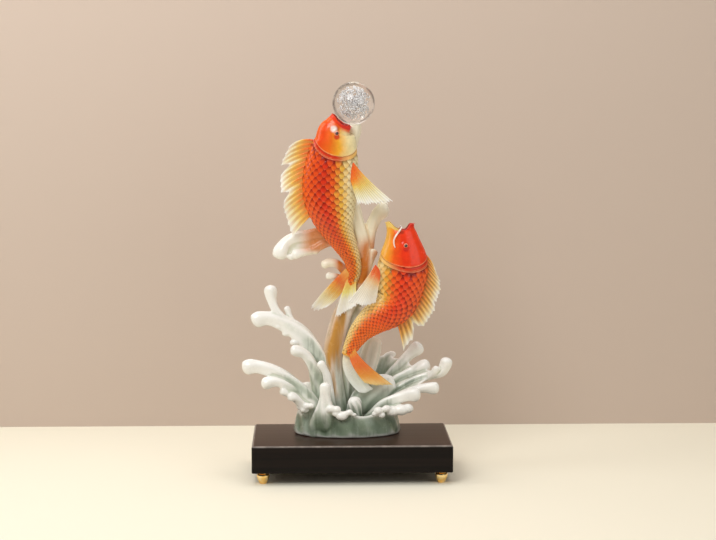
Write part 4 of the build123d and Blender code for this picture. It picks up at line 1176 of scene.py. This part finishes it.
print("carp bodies and scales")
plate = makeScalePlate()
forms = {key: CarpForm(shape) for key, shape in carpShapes.items()}
for key, form in forms.items():
    body = makeBody(key, form)
    scales = makeScales(key, form, plate)
    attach(body, "figure")
    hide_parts(key + "_carp_body")
    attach(scales, "figure")
discard(plate)

# Fins

finPalettes = {   # colours at stops from root to edge, then the tint between the rays
    "dorsal": ([(0.0, (0.85, 0.11, 0.01)), (0.26, (0.88, 0.26, 0.02)), (0.46, (0.92, 0.6, 0.12)),
                (0.68, (0.93, 0.84, 0.5)), (1.0, (0.95, 0.94, 0.89))],
               (0.66, 0.32, 0.07)),
    "pectoral": ([(0.0, (0.84, 0.1, 0.01)), (0.22, (0.88, 0.24, 0.015)), (0.48, (0.9, 0.62, 0.1)),
                  (0.75, (0.91, 0.86, 0.6)), (1.0, (0.94, 0.93, 0.9))],
                 (0.5, 0.42, 0.2)),
    "lowerDorsal": ([(0.0, (0.84, 0.1, 0.01)), (0.35, (0.84, 0.24, 0.02)), (0.62, (0.88, 0.52, 0.12)),
                     (0.84, (0.91, 0.8, 0.5)), (1.0, (0.93, 0.91, 0.84))],
                    (0.34, 0.13, 0.02)),
    "lowerPectoral": ([(0.0, (0.82, 0.08, 0.01)), (0.16, (0.86, 0.16, 0.02)), (0.36, (0.9, 0.58, 0.28)),
                       (0.62, (0.91, 0.84, 0.68)), (1.0, (0.93, 0.91, 0.86))],
                      (0.66, 0.52, 0.34)),
    "redTail": ([(0.0, (0.86, 0.42, 0.07)), (0.25, (0.8, 0.14, 0.015)), (0.48, (0.88, 0.46, 0.06)),
                 (0.68, (0.92, 0.82, 0.48)), (1.0, (0.94, 0.93, 0.9))],
                (0.48, 0.3, 0.1)),
    "yellowTail": ([(0.0, (0.88, 0.36, 0.05)), (0.25, (0.9, 0.62, 0.14)), (0.45, (0.92, 0.84, 0.28)),
                    (0.62, (0.94, 0.92, 0.8)), (1.0, (0.96, 0.96, 0.95))],
                   (0.8, 0.76, 0.62)),
    "orangeLobe": ([(0.0, (0.86, 0.46, 0.05)), (0.28, (0.85, 0.16, 0.015)), (0.55, (0.86, 0.2, 0.02)),
                    (0.8, (0.85, 0.38, 0.04)), (1.0, (0.9, 0.66, 0.26))],
                   (0.66, 0.12, 0.02)),
    "paleLobe": ([(0.0, (0.88, 0.58, 0.2)), (0.14, (0.88, 0.83, 0.64)), (0.45, (0.9, 0.9, 0.82)),
                  (0.8, (0.84, 0.88, 0.8)), (1.0, (0.92, 0.94, 0.89))],
                 (0.66, 0.71, 0.58)),
}

# each fin: carp, plane (x and y shares, turn), root, middle and edge points, rays, ragged depth,
# ripple and its waves in millimetres, lobes, palette and the CAD node that it stands for
fins = {
    "upperDorsal": {
        "carp": "upper", "plane": (0, -0.045, 0),
        "root": [(-0.195, 0.815), (-0.208, 0.745), (-0.22, 0.67), (-0.222, 0.58), (-0.208, 0.495), (-0.18, 0.425)],
        "middle": [(-0.27, 0.812), (-0.31, 0.712), (-0.322, 0.622), (-0.318, 0.528), (-0.298, 0.44), (-0.256, 0.35)],
        "edge": [(-0.335, 0.77), (-0.38, 0.662), (-0.38, 0.57), (-0.37, 0.475), (-0.348, 0.39), (-0.315, 0.27)],
        "rays": 16, "ragged": 0.06, "ripple": 2.6, "waves": 1.6, "lobes": [(0.26, 0.045, 0.4), (0.58, 0.045, 0.36)],
        "palette": "dorsal", "node": "upper_carp_dorsal_fin",
    },
    "upperNearPectoral": {
        "carp": "upper", "plane": (0, -0.103, -20),
        "root": [(0.004, 0.622), (0.014, 0.65), (0.024, 0.692)],
        "middle": [(0.03, 0.548), (0.074, 0.56), (0.124, 0.59)],
        "edge": [(0.058, 0.462), (0.145, 0.464), (0.272, 0.474)],
        "rays": 12, "ragged": 0.05, "ripple": 1.8, "waves": 0.9, "palette": "pectoral",
        "node": "upper_carp_near_pectoral_fin",
    },
    "upperFarPectoral": {
        "carp": "upper", "plane": (-0.045, 0.01, 130),
        "root": [(-0.01, 0.6), (-0.02, 0.64), (-0.01, 0.685)],
        "middle": [(0.02, 0.545), (0.06, 0.58), (0.08, 0.64)],
        "edge": [(0.05, 0.5), (0.125, 0.49), (0.188, 0.522)],
        "rays": 11, "ragged": 0.08, "ripple": 1.5, "waves": 0.8, "palette": "pectoral",
        "node": "upper_carp_far_pectoral_fin",
    },
    "upperTailNear": {
        "carp": "upper", "plane": (0, -0.016, 0),
        "root": [(-0.012, 0.098), (0.0, 0.078), (0.016, 0.06)],
        "middle": [(-0.112, 0.0), (-0.096, -0.028), (-0.056, -0.052)],
        "edge": [(-0.216, -0.122), (-0.186, -0.142), (-0.134, -0.12)],
        "rays": 11, "ragged": 0.05, "ripple": 1.6, "waves": 0.7, "palette": "redTail",
        "node": "upper_carp_tail_fin_near",
    },
    "upperTailFar": {
        "carp": "upper", "plane": (0, -0.012, 0), "lean": 0.035,
        "root": [(0.004, 0.062), (0.02, 0.06), (0.04, 0.064)],
        "middle": [(-0.04, -0.05), (-0.008, -0.05), (0.04, -0.03)],
        "edge": [(-0.076, -0.174), (-0.02, -0.15), (0.04, -0.11)],
        "rays": 11, "ragged": 0.05, "ripple": 2.0, "waves": 0.8, "palette": "yellowTail",
        "node": "upper_carp_tail_fin_far",
    },
    "lowerDorsal": {
        "carp": "lower", "plane": (0, 0.034, 0),
        "root": [(0.47, 0.655), (0.47, 0.575), (0.448, 0.49), (0.415, 0.4), (0.368, 0.318), (0.3, 0.258)],
        "middle": [(0.525, 0.59), (0.535, 0.5), (0.52, 0.405), (0.485, 0.31), (0.42, 0.22), (0.335, 0.13)],
        "edge": [(0.553, 0.53), (0.59, 0.44), (0.572, 0.335), (0.535, 0.24), (0.458, 0.148), (0.358, 0.018)],
        "rays": 19, "ragged": 0.07, "ripple": 2.4, "waves": 1.9, "lobes": [(0.46, 0.03, 0.12), (0.82, 0.035, 0.35)],
        "palette": "lowerDorsal", "node": "lower_carp_dorsal_fin",
    },
    "lowerNearPectoral": {
        "carp": "lower", "plane": (0.184, -0.052, 195),
        "root": [(-0.02, 0.515), (-0.014, 0.548), (0.006, 0.575)],
        "middle": [(-0.008, 0.428), (0.04, 0.438), (0.082, 0.468)],
        "edge": [(0.007, 0.332), (0.092, 0.324), (0.19, 0.338)],
        "rays": 13, "ragged": 0.03, "ripple": 2.2, "waves": 1.0, "palette": "lowerPectoral",
        "node": "lower_carp_near_pectoral_fin",
    },
    "lowerFarPectoral": {
        "carp": "lower", "plane": (0.289, 0.095, 60),
        "root": [(-0.03, 0.48), (-0.04, 0.53), (-0.03, 0.59)],
        "middle": [(0.01, 0.4), (0.05, 0.44), (0.08, 0.51)],
        "edge": [(0.05, 0.335), (0.11, 0.345), (0.168, 0.362)],
        "rays": 11, "ragged": 0.07, "ripple": 1.8, "waves": 0.9, "palette": "lowerPectoral",
        "node": "lower_carp_far_pectoral_fin",
    },
    "lowerTailNear": {
        "carp": "lower", "plane": (0, -0.02, 0),
        "root": [(0.014, 0.04), (0.03, 0.046), (0.046, 0.052)],
        "middle": [(0.04, -0.062), (0.075, -0.055), (0.112, -0.04)],
        "edge": [(0.118, -0.172), (0.2, -0.188), (0.29, -0.186)],
        "rays": 12, "ragged": 0.02, "ripple": 1.2, "waves": 0.6, "palette": "orangeLobe",
        "node": "lower_carp_tail_fin_near",
    },
    "lowerTailFar": {
        "carp": "lower", "plane": (0, 0.006, 0),
        "root": [(-0.012, 0.03), (0.008, 0.036), (0.03, 0.046)],
        "middle": [(-0.012, -0.105), (0.022, -0.104), (0.064, -0.092)],
        "edge": [(0.08, -0.232), (0.122, -0.238), (0.166, -0.214)],
        "rays": 10, "ragged": 0.01, "ripple": 2.2, "waves": 0.7, "palette": "paleLobe",
        "node": "lower_carp_tail_fin_far",
    },
}


def finGrid(spec):
    shape = carpShapes[spec["carp"]]
    length, rays = shape["length"], spec["rays"]
    xShare, yShare, turn = spec["plane"]
    turn = math.radians(turn)
    across = np.array((math.cos(turn), math.sin(turn), 0))
    normal = np.array((math.sin(turn), -math.cos(turn), 0))
    origin = np.array(shape["root"]) + np.array((xShare, yShare, 0)) * length
    s, t = np.linspace(0, 1, rays * 6 + 1), np.linspace(0, 1, 25)
    root, middle, edge = (throughPoints(spec[name], len(s))[:, None] for name in ("root", "middle", "edge"))
    dice = np.random.default_rng(rays * 7 + len(spec["node"]))
    rayLength = 1 - spec["ragged"] * dice.uniform(0, 1, rays + 1)
    phase = np.abs(np.sin(math.pi * rays * s))
    reach = np.interp(s * rays, np.arange(rays + 1), rayLength) - spec["ragged"] * 0.8 * phase
    for middleAt, wide, deep in spec.get("lobes", ()):
        reach = reach - deep * bell(s, middleAt, wide)
    out = (t * reach[:, None])[..., None]
    flat = (1 - out) * (1 - 2 * out) * root + 4 * out * (1 - out) * middle + out * (2 * out - 1) * edge
    ripple = np.sin(2 * math.pi * (spec["waves"] * s[:, None, None] + 0.12) + 1.2 * out) * out ** 1.3
    wave = spec["ripple"] * mm * ripple + spec.get("lean", 0) * length * out
    points = origin + (flat[..., :1] * across + flat[..., 1:2] * np.array((0, 0, 1.0))) * length + wave * normal
    return points, s, t, phase


def buildFinRays():
    # a tapered ray from root to edge for every seed, whose x is its place across the fin
    group, entry, leave = geometryGroup("finRays", {
        "Chart": "Object", "Steps": 22, "Root Radius": 0.001, "Tip Radius": 0.0004, "Paint": "Material"})
    line = addNode(group, "GeometryNodeCurvePrimitiveLine", {"Start": (0, 0.002, 0), "End": (0, 0.996, 0)}).outputs[0]
    fine = addNode(group, "GeometryNodeResampleCurve", {"Curve": line, "Count": entry["Steps"]}).outputs[0]
    place = addNode(group, "GeometryNodeInputPosition").outputs[0]
    curves, uv = capture(group, realise(group, standOn(group, entry["Geometry"], fine)), place)
    curves = moveTo(group, curves, sampleChart(group, geometryOf(group, entry["Chart"]), place, uv))
    split = splitOf(group, uv)
    taper = addNode(group, "ShaderNodeMapRange", {
        "Value": split["Y"], "To Min": entry["Root Radius"], "To Max": entry["Tip Radius"]}).outputs["Result"]
    curves = addNode(group, "GeometryNodeSetCurveRadius", {"Curve": curves, "Radius": taper}).outputs[0]
    ring = addNode(group, "GeometryNodeCurvePrimitiveCircle", {"Resolution": 7, "Radius": 1}).outputs[0]
    sweep = addNode(group, "GeometryNodeCurveToMesh", {"Curve": curves, "Profile Curve": ring, "Fill Caps": True})
    if "Scale" in sweep.inputs:
        feed(group, sweep, {"Scale": addNode(group, "GeometryNodeInputRadius").outputs[0]})
    tubes = sweep.outputs[0]
    for name, value in (("spread", split["X"]), ("reach", split["Y"])):
        tubes = addNode(group, "GeometryNodeStoreNamedAttribute", {"Geometry": tubes, "Name": name, "Value": value},
                        data_type="FLOAT", domain="POINT").outputs[0]
    endGroup(group, leave, tubes, entry["Paint"])
    return group


def finMaterial(palette):
    stops, between = finPalettes[palette]
    mat, tree, shader = newMaterial(palette + "FinPaint")
    useGlaze(tree, shader, 90.0, 0.2, 0.36)
    reach, across, gap = (readAttribute(tree, name) for name in ("reach", "spread", "between"))
    # streaks that run out along the rays
    vector = addNode(tree, "ShaderNodeCombineXYZ",
                     {0: times(tree, across, 26.0), 1: times(tree, reach, 1.6)}).outputs[0]
    streak = addNode(tree, "ShaderNodeTexNoise", {
        "Vector": vector, "Scale": 1.0, "Detail": 3.0, "Roughness": 0.6}).outputs["Fac"]
    colour = ramp(tree, calc(tree, "ADD", reach, wanderOf(tree, streak, 0.42), True), stops)
    dark = times(tree, rangeOf(tree, gap, 0.35, 1.0), rangeOf(tree, reach, 0.55, 1.0, 0.75, 0.25))
    feed(tree, shader, {"Base Color": mixColours(tree, dark, colour, between), "Coat Weight": 0.35,
                        "Coat Roughness": 0.1})
    bump(tree, shader, streak, 0.18, 0.0006)
    return mat


rayLook = {
    "steps": 22,
    "root": 0.95 * mm,
    "tip": 0.38 * mm,
}
finRays = buildFinRays()
finPaints = {palette: finMaterial(palette) for palette in finPalettes}


def makeFin(name, spec):
    grid, s, t, phase = finGrid(spec)
    rays, paint = spec["rays"], finPaints[spec["palette"]]
    normal = unit(np.cross(np.gradient(grid, axis=0), np.gradient(grid, axis=1)))
    thick = (1.5 * (1 - t) + 0.45 * t) * mm
    half = normal * (thick * (1 - 0.35 * phase[:, None] * (1 - t * 0.5)) / 2)[..., None]
    web = meshFrom(name + "Web", np.concatenate([grid + half, grid - half]).reshape(-1, 3),
                   sheetFaces(len(s), len(t)))
    u, v = np.meshgrid(s, t, indexing="ij")
    writeAttributes(web.data, spread=np.tile(u.ravel(), 2), reach=np.tile(v.ravel(), 2),
                    between=np.tile(np.repeat(phase, len(t)), 2))
    web.data.materials.append(paint)
    outward(web)
    chart = chartMesh(name + "Chart", grid, u, v)
    seeds = meshFrom(name + "Seeds", [(min(max(k / rays, 0.002), 0.998), 0, 0) for k in range(rays + 1)])
    tubes = grow(seeds, finRays, name + "Rays", {
        "Chart": chart, "Steps": rayLook["steps"], "Root Radius": rayLook["root"], "Tip Radius": rayLook["tip"],
        "Paint": paint})
    discard(chart)
    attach(web, "figure")
    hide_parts(spec["node"])
    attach(tubes, "figure")
    return len(web.data.polygons) + len(tubes.data.polygons)


print("fins")
finFaces = sum(makeFin(name, spec) for name, spec in fins.items())
print("fin faces", finFaces)

# Eyes

eyeLook = {
    "radius": 3.0 * mm,
    "pupil": 1.45 * mm,
    "iris": 2.1 * mm,
    "bulge": 0.35 * mm,
    "out": 0.2 * mm,
    "black": ((0.004, 0.003, 0.003), (0.006, 0.004, 0.004)),
    # pupil's size, then how far the next colours lie past the pupil and the iris, and the colours
    "upper": (1.0, 0.06, 0.1, ((0.34, 0.015, 0.01), (0.5, 0.09, 0.05), (0.74, 0.34, 0.22), (0.84, 0.52, 0.4))),
    "lower": (1.1, 0.05, 0.12, ((0.52, 0.05, 0.02), (0.74, 0.2, 0.08), (0.84, 0.42, 0.26), (0.6, 0.03, 0.015))),
}


def makeEyes(key, form):
    radius, iris = eyeLook["radius"], eyeLook["iris"] / eyeLook["radius"]
    pair = Gathered()
    for place, outwards in form.eyePlaces():
        bm = bmesh.new()
        bmesh.ops.create_uvsphere(bm, u_segments=36, v_segments=24, radius=radius)
        points = np.array([tuple(v.co) for v in bm.verts])
        off = np.hypot(points[:, 0], points[:, 2])
        seen = points[:, 1] * outwards > 0
        bulge = eyeLook["bulge"] * np.maximum(0, 1 - (off / eyeLook["iris"]) ** 2) * seen
        points[:, 1] += outwards * (bulge + eyeLook["out"])
        pair.take(points + place, [tuple(v.index for v in f.verts) for f in bm.faces],
                  np.where(seen, off, radius) / radius)
        bm.free()
    obj = pair.whole(key + "CarpEyeballs")
    writeAttributes(obj.data, ring=np.concatenate(pair.samples))
    mat, tree, shader = newMaterial(key + "EyeEnamel")
    large, pastPupil, pastIris, colours = eyeLook[key]
    pupil = eyeLook["pupil"] / radius * large
    steps = (0, pupil, pupil + pastPupil, iris, iris + pastIris, 1)
    place = calc(tree, "ADD", readAttribute(tree, "ring"), wanderOf(tree, noiseOf(tree, 500.0, 2.0), 0.05))
    feed(tree, shader, {"Base Color": ramp(tree, place, list(zip(steps, (*eyeLook["black"], *colours)))),
                        "Roughness": rangeOf(tree, noiseOf(tree, 300.0), 0.3, 0.7, 0.04, 0.1),
                        "Coat Weight": 1.0, "Coat Roughness": 0.03})
    obj.data.materials.append(mat)
    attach(obj, "figure")
    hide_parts(key + "_carp_eyes")


for key, form in forms.items():
    makeEyes(key, form)

# Barbels: two thin white whiskers from the corners of the lower mouth

barbelRows = [(0.34, -0.01, 0.806, 0.9), (0.326, -0.034, 0.786, 1.0), (0.305, -0.046, 0.76, 1.0),
              (0.29, -0.053, 0.73, 0.85),
              (0.291, -0.056, 0.702, 0.7), (0.299, -0.055, 0.68, 0.5)]
lower = carpShapes["lower"]
lipY = lower["rows"][-1][1]
whiskerLook = {
    "thick": 2.1 * mm,
    "pale": (0.9, 0.84, 0.78),
    "pink": (0.9, 0.62, 0.5),
}
whiskers = Gathered()
for mirror in (False, True):
    rows = [(*(np.array(lower["root"]) + np.array((x, 2 * lipY - y if mirror else y, z)) * lower["length"]), swell)
            for x, y, z, swell in barbelRows]
    whiskers.take(*limbMesh(rows, whiskerLook["thick"], whiskerLook["thick"], 2, 0.04, 0.5, knob=0.05))
barbels = whiskers.whole("lowerCarpWhiskers")
outward(barbels)
mat, tree, shader = newMaterial("whiskerPaint")
glaze = useGlaze(tree, shader, 200.0, 0.18, 0.32)
tone = mixColours(tree, rangeOf(tree, glaze["Mottle"], 0.4, 0.7), whiskerLook["pale"], whiskerLook["pink"])
feed(tree, shader, {"Base Color": tone})
barbels.data.materials.append(mat)
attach(barbels, "figure")
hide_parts("lower_carp_barbels")

# Crystal ball: clear glass with a cloud of fine bubbles

ballLook = {
    "bubbles": 1000,
    "cloud": 0.54,         # share of the radius that the cloud fills
    "bubbleSize": 0.56 * mm,
    "seed": 4,
    "ior": 1.5,
    # dark of a painted reflection at the ball's rim
    "paintedRimReflection": (0.09, 0.085, 0.09),
}


def buildBubbleCloud():
    group, entry, leave = geometryGroup("bubbleCloud", {
        "Count": "Int", "Centre": "Vector", "Cloud Radius": "Float", "Bubble Radius": "Float", "Seed": "Int",
        "Glass": "Material"})
    seed, second, third = entry["Seed"], *(calc(group, "ADD", entry["Seed"], step) for step in (1.0, 2.0))
    direction = randomOf(group, "FLOAT_VECTOR", {0: (-1, -1, -1), 1: (1, 1, 1), "Seed": seed})[0]
    further = calc(group, "POWER", randomOf(group, "FLOAT", {"Seed": second})[1], 0.45)
    spread = vectorCalc(group, "SCALE", {0: vectorCalc(group, "NORMALIZE", {0: direction}),
                                         "Scale": times(group, further, entry["Cloud Radius"])})
    place = vectorCalc(group, "ADD", {0: spread, 1: entry["Centre"]})
    points = addNode(group, "GeometryNodePoints", {"Count": entry["Count"], "Position": place}).outputs[0]
    bubble = addNode(group, "GeometryNodeMeshIcoSphere",
                     {"Subdivisions": 2, "Radius": entry["Bubble Radius"]}).outputs[0]
    size = randomOf(group, "FLOAT", {2: 0.45, 3: 1.5, "Seed": third})[1]
    endGroup(group, leave, standOn(group, points, bubble, {"Scale": size}), entry["Glass"])
    return group


print("crystal ball")
mat, tree, shader = newMaterial("clearCrystal")
tint = mixColours(tree, rangeOf(tree, noiseOf(tree, 60.0), 0.3, 0.7), (1, 1, 1), (0.985, 0.985, 0.99))
facing = addNode(tree, "ShaderNodeLayerWeight", {"Blend": 0.5}).outputs["Facing"]
# painted reflection: the glass darkens toward its rim, in streaks, for the dark surroundings it mirrors
shade = times(tree, rangeOf(tree, facing, 0.38, 0.68), rangeOf(tree, noiseOf(tree, 110.0), 0.4, 0.58))
feed(tree, shader, {"Base Color": mixColours(tree, shade, tint, ballLook["paintedRimReflection"]), "Transmission Weight": 1.0,
                    "IOR": ballLook["ior"],
                    "Roughness": rangeOf(tree, noiseOf(tree, 140.0, 2.0), 0.35, 0.7, 0.0, 0.012)})
bm = bmesh.new()
bmesh.ops.create_uvsphere(bm, u_segments=96, v_segments=64, radius=ballRadius)
bmesh.ops.translate(bm, verts=bm.verts, vec=ballCentre)
ball = fromBmesh("crystalSphere", bm)
ball.data.materials.append(mat)
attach(ball, "ball")
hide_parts("crystal_ball")

bubbleMat, tree, shader = newMaterial("bubbleFrost")
frost = rangeOf(tree, noiseOf(tree, 400.0), 0.35, 0.65)
feed(tree, shader, {"Base Color": mixColours(tree, frost, (1, 1, 1), (0.9, 0.89, 0.9)),
                    "Roughness": rangeOf(tree, noiseOf(tree, 250.0), 0.3, 0.7, 0.05, 0.3)})
bubbles = grow(meshFrom("bubbleSeed", [(0, 0, 0)]), buildBubbleCloud(), "crystalBubbles", {
    "Count": ballLook["bubbles"], "Centre": list(ballCentre), "Cloud Radius": ballRadius * ballLook["cloud"],
    "Bubble Radius": ballLook["bubbleSize"], "Seed": ballLook["seed"], "Glass": bubbleMat})
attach(bubbles, "ball")
print("bubble faces", len(bubbles.data.polygons))

# Plinth and feet

plinthLook = {
    "corner": 3.0 * mm,
    "topRound": 4.0 * mm,
    "footRound": 0.7 * mm,
    "dark": (0.0045, 0.003, 0.0025),
    "warm": (0.01, 0.006, 0.0045),
    "pore": (0.005, 0.003, 0.003),
    # top face, lighter as a painted reflection of the backdrop
    "top": (0.04, 0.019, 0.012),
    # painted highlight along the rounded top edges
    "paintedEdgeHighlight": (0.3, 0.26, 0.23),
    "gold": (0.95, 0.62, 0.2),
    "paleGold": (1.0, 0.78, 0.4),
}

print("plinth and feet")
low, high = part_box("plinth")
bm = bmesh.new()
bmesh.ops.create_cube(bm, size=1)
bmesh.ops.scale(bm, verts=bm.verts, vec=high - low)
bmesh.ops.translate(bm, verts=bm.verts, vec=(low + high) / 2)
lengthwise = [e for e in bm.edges if abs(e.verts[0].co.x - e.verts[1].co.x) > 0.1]
bmesh.ops.subdivide_edges(bm, edges=lengthwise, cuts=12, use_grid_fill=True)


def roundEdges(radius, test):
    # every sharp edge that passes the test
    sharp = [e for e in bm.edges if len(e.link_faces) == 2 and e.calc_face_angle(0) > 0.9 and test(*e.verts)]
    bmesh.ops.bevel(bm, geom=sharp, offset=radius, segments=6, profile=0.5, affect="EDGES", clamp_overlap=True)


roundEdges(plinthLook["corner"], lambda a, b: abs(a.co.z - b.co.z) > 1 * mm)
for level, radius in ((high.z, plinthLook["topRound"]), (low.z, plinthLook["footRound"])):
    roundEdges(radius * 0.98, lambda a, b: max(abs(a.co.z - level), abs(b.co.z - level)) < 0.01 * mm)
plinth = fromBmesh("lacqueredPlinth", bm)
mat, tree, shader = newMaterial("darkLacquer")
grain = noiseOf(tree, 18.0, 3.0, (0.1, 16.0, 9.0), 0.55)
pores = noiseOf(tree, 120.0, 2.0, (0.06, 6.0, 5.0), 0.6)
slope = splitOf(tree, addNode(tree, "ShaderNodeNewGeometry").outputs["True Normal"])["Z"]
base = mixColours(tree, rangeOf(tree, grain, 0.36, 0.66), plinthLook["dark"], plinthLook["warm"])
base = mixColours(tree, rangeOf(tree, pores, 0.3, 0.42, 0.35, 0.0), base, plinthLook["pore"])
# painted reflection: the upward faces are lightened
base = mixColours(tree, rangeOf(tree, slope, 0.6, 0.95), base, plinthLook["top"])
# painted highlight: a light band on the rounded top edges, broken up by noise, standing for the lamps' reflection
edge = times(tree, rangeOf(tree, slope, 0.3, 0.55), rangeOf(tree, slope, 0.93, 0.99, 1.0, 0.0))
paintedHighlight = times(tree, edge, rangeOf(tree, noiseOf(tree, 90.0), 0.38, 0.7, 0.55, 0.9))
feed(tree, shader, {"Base Color": mixColours(tree, paintedHighlight, base, plinthLook["paintedEdgeHighlight"]),
                    "Roughness": rangeOf(tree, grain, 0.3, 0.7, 0.29, 0.32), "Specular IOR Level": 0.13,
                    "Coat Weight": 0.03, "Coat Roughness": 0.12})
bump(tree, shader, pores, 0.06, 0.0003)
plinth.data.materials.append(mat)
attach(plinth, "figure")
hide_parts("plinth")


def metalMaterial(name, noise, turns, colours, roughness):
    mat, tree, shader = newMaterial(name)
    cast = noiseOf(tree, *noise)
    feed(tree, shader, {"Base Color": mixColours(tree, rangeOf(tree, cast, *turns), *colours), "Metallic": 1.0,
                        "Roughness": rangeOf(tree, cast, 0.3, 0.7, *roughness)})
    return mat, tree, shader


goldMat, tree, shader = metalMaterial("polishedGold", (180.0,), (0.35, 0.65),
                                      (plinthLook["gold"], plinthLook["paleGold"]), (0.07, 0.15))
bump(tree, shader, noiseOf(tree, 600.0), 0.05, 0.0002)
footProfile = [(0.0, 0.0), (0.46, 0.0), (0.52, 0.012), (0.62, 0.09), (0.74, 0.21), (0.86, 0.36), (0.955, 0.52),
               (0.985, 0.64), (0.96, 0.74),
               (0.86, 0.8), (0.68, 0.83), (0.56, 0.845), (0.6, 0.875), (0.72, 0.9), (0.74, 0.93), (0.66, 0.955),
               (0.62, 0.98), (0.62, 1.0), (0.0, 1.0)]
footLines, footAngle = throughPoints(footProfile[1:-1], 70), anglesRound(48)
for corner in ("front_left", "front_right", "rear_left", "rear_right"):
    low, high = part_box("foot_" + corner)
    centre = (low + high) / 2
    points = []
    for out, up in footLines:
        radius = out * (high.x - low.x) / 2
        level = low.z + np.clip(up, 0, 1) * (high.z - low.z)
        points.append(np.column_stack([centre.x + radius * np.cos(footAngle), centre.y + radius * np.sin(footAngle),
                                       np.full(len(footAngle), level)]))
    foot = meshFrom("bun_" + corner, np.concatenate(points), ringFaces(len(footLines), len(footAngle)))
    outward(foot)
    foot.data.materials.append(goldMat)
    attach(foot, "figure")
    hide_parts("foot_" + corner)

steelMat, _, _ = metalMaterial("brushedSteel", (300.0, 3.0, (1, 1, 8)), (0.3, 0.7),
                               ((0.42, 0.42, 0.43), (0.62, 0.61, 0.6)), (0.22, 0.4))
for name in ("foot_screws", "base_screws", "carp_pins", "column_dowel"):
    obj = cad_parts[name]
    for slot in obj.material_slots:
        slot.material = steelMat

# Staging

studio = {
    "camera": (-0.05174, -2.07976, 0.47165),
    "pitch": 83.7186,
    "yaw": -1.65,
    "lens": 89.35,
    "sensor": 36,
    "reach": 4,             # half the width of the floor and the backdrop
    "wallAt": 0.287,
    "floor": (0.95, 0.9, 0.74),
    "backdrop": (0.6, 0.49, 0.41),
    "room": (0.75, 0.72, 0.7),
    "roomStrength": 0.36,
    "lamps": {   # place, aim, size and power
        "key": ((-0.55, -1.1, 1.25), (0, 0, 0.25), (0.7, 0.7), 10.8),
        "fill": ((0.95, -1.0, 0.7), (0, 0, 0.22), (0.9, 0.9), 3.0),
        "top": ((0.0, 0.12, 1.3), (0, 0, 0.1), (1.1, 0.8), 7.8),
        "rimLeft": ((-0.9, -0.15, 0.8), (0, 0, 0.25), (0.4, 0.8), 2.4),
    },
}

print("staging")
scene = bpy.context.scene
camera = addObject("camera", bpy.data.cameras.new("camera"))
camera.data.lens = studio["lens"]
camera.data.sensor_width = studio["sensor"]
camera.location = studio["camera"]
camera.rotation_euler = (math.radians(studio["pitch"]), 0, math.radians(studio["yaw"]))
scene.camera = camera
scene.view_settings.view_transform = "Standard"

for lampName, (place, aim, size, power) in studio["lamps"].items():
    lamp = addObject(lampName, bpy.data.lights.new(lampName, "AREA"))
    lamp.data.shape = "RECTANGLE"
    lamp.data.size, lamp.data.size_y = size
    lamp.data.energy = power
    lamp.location = place
    lamp.rotation_euler = (Vector(aim) - Vector(place)).to_track_quat("-Z", "Y").to_euler()

far, wallAt = studio["reach"], studio["wallAt"]
floor = meshFrom("floor", [(-far, -far, 0), (far, -far, 0), (far, far, 0), (-far, far, 0)], [(0, 1, 2, 3)])
wall = meshFrom("backdrop", [(-far, wallAt, -0.5), (far, wallAt, -0.5), (far, wallAt, far), (-far, wallAt, far)],
                [(0, 1, 2, 3)])
for obj in (floor, wall):
    mat, tree, shader = newMaterial(obj.name + "Paint")
    colour = studio[obj.name]
    tone = rangeOf(tree, noiseOf(tree, 2.0), 0.2, 0.8, 0.97, 1.0)
    feed(tree, shader, {"Base Color": mixColours(tree, tone, tuple(c * 0.95 for c in colour), colour),
                        "Roughness": 0.75, "Specular IOR Level": 0.25})
    if obj is wall:
        # its rear side lets light by, so that the object shows from behind too
        clear = addNode(tree, "ShaderNodeBsdfTransparent").outputs[0]
        rear = addNode(tree, "ShaderNodeNewGeometry").outputs["Backfacing"]
        oneSided = addNode(tree, "ShaderNodeMixShader", {0: rear, 1: shader.outputs[0], 2: clear})
        feed(tree, tree.nodes["Material Output"], {"Surface": oneSided.outputs[0]})
    obj.data.materials.append(mat)

world = bpy.data.worlds.new("room")
scene.world = world
world.use_nodes = True
feed(world.node_tree, world.node_tree.nodes["Background"],
     {"Color": studio["room"], "Strength": studio["roomStrength"]})
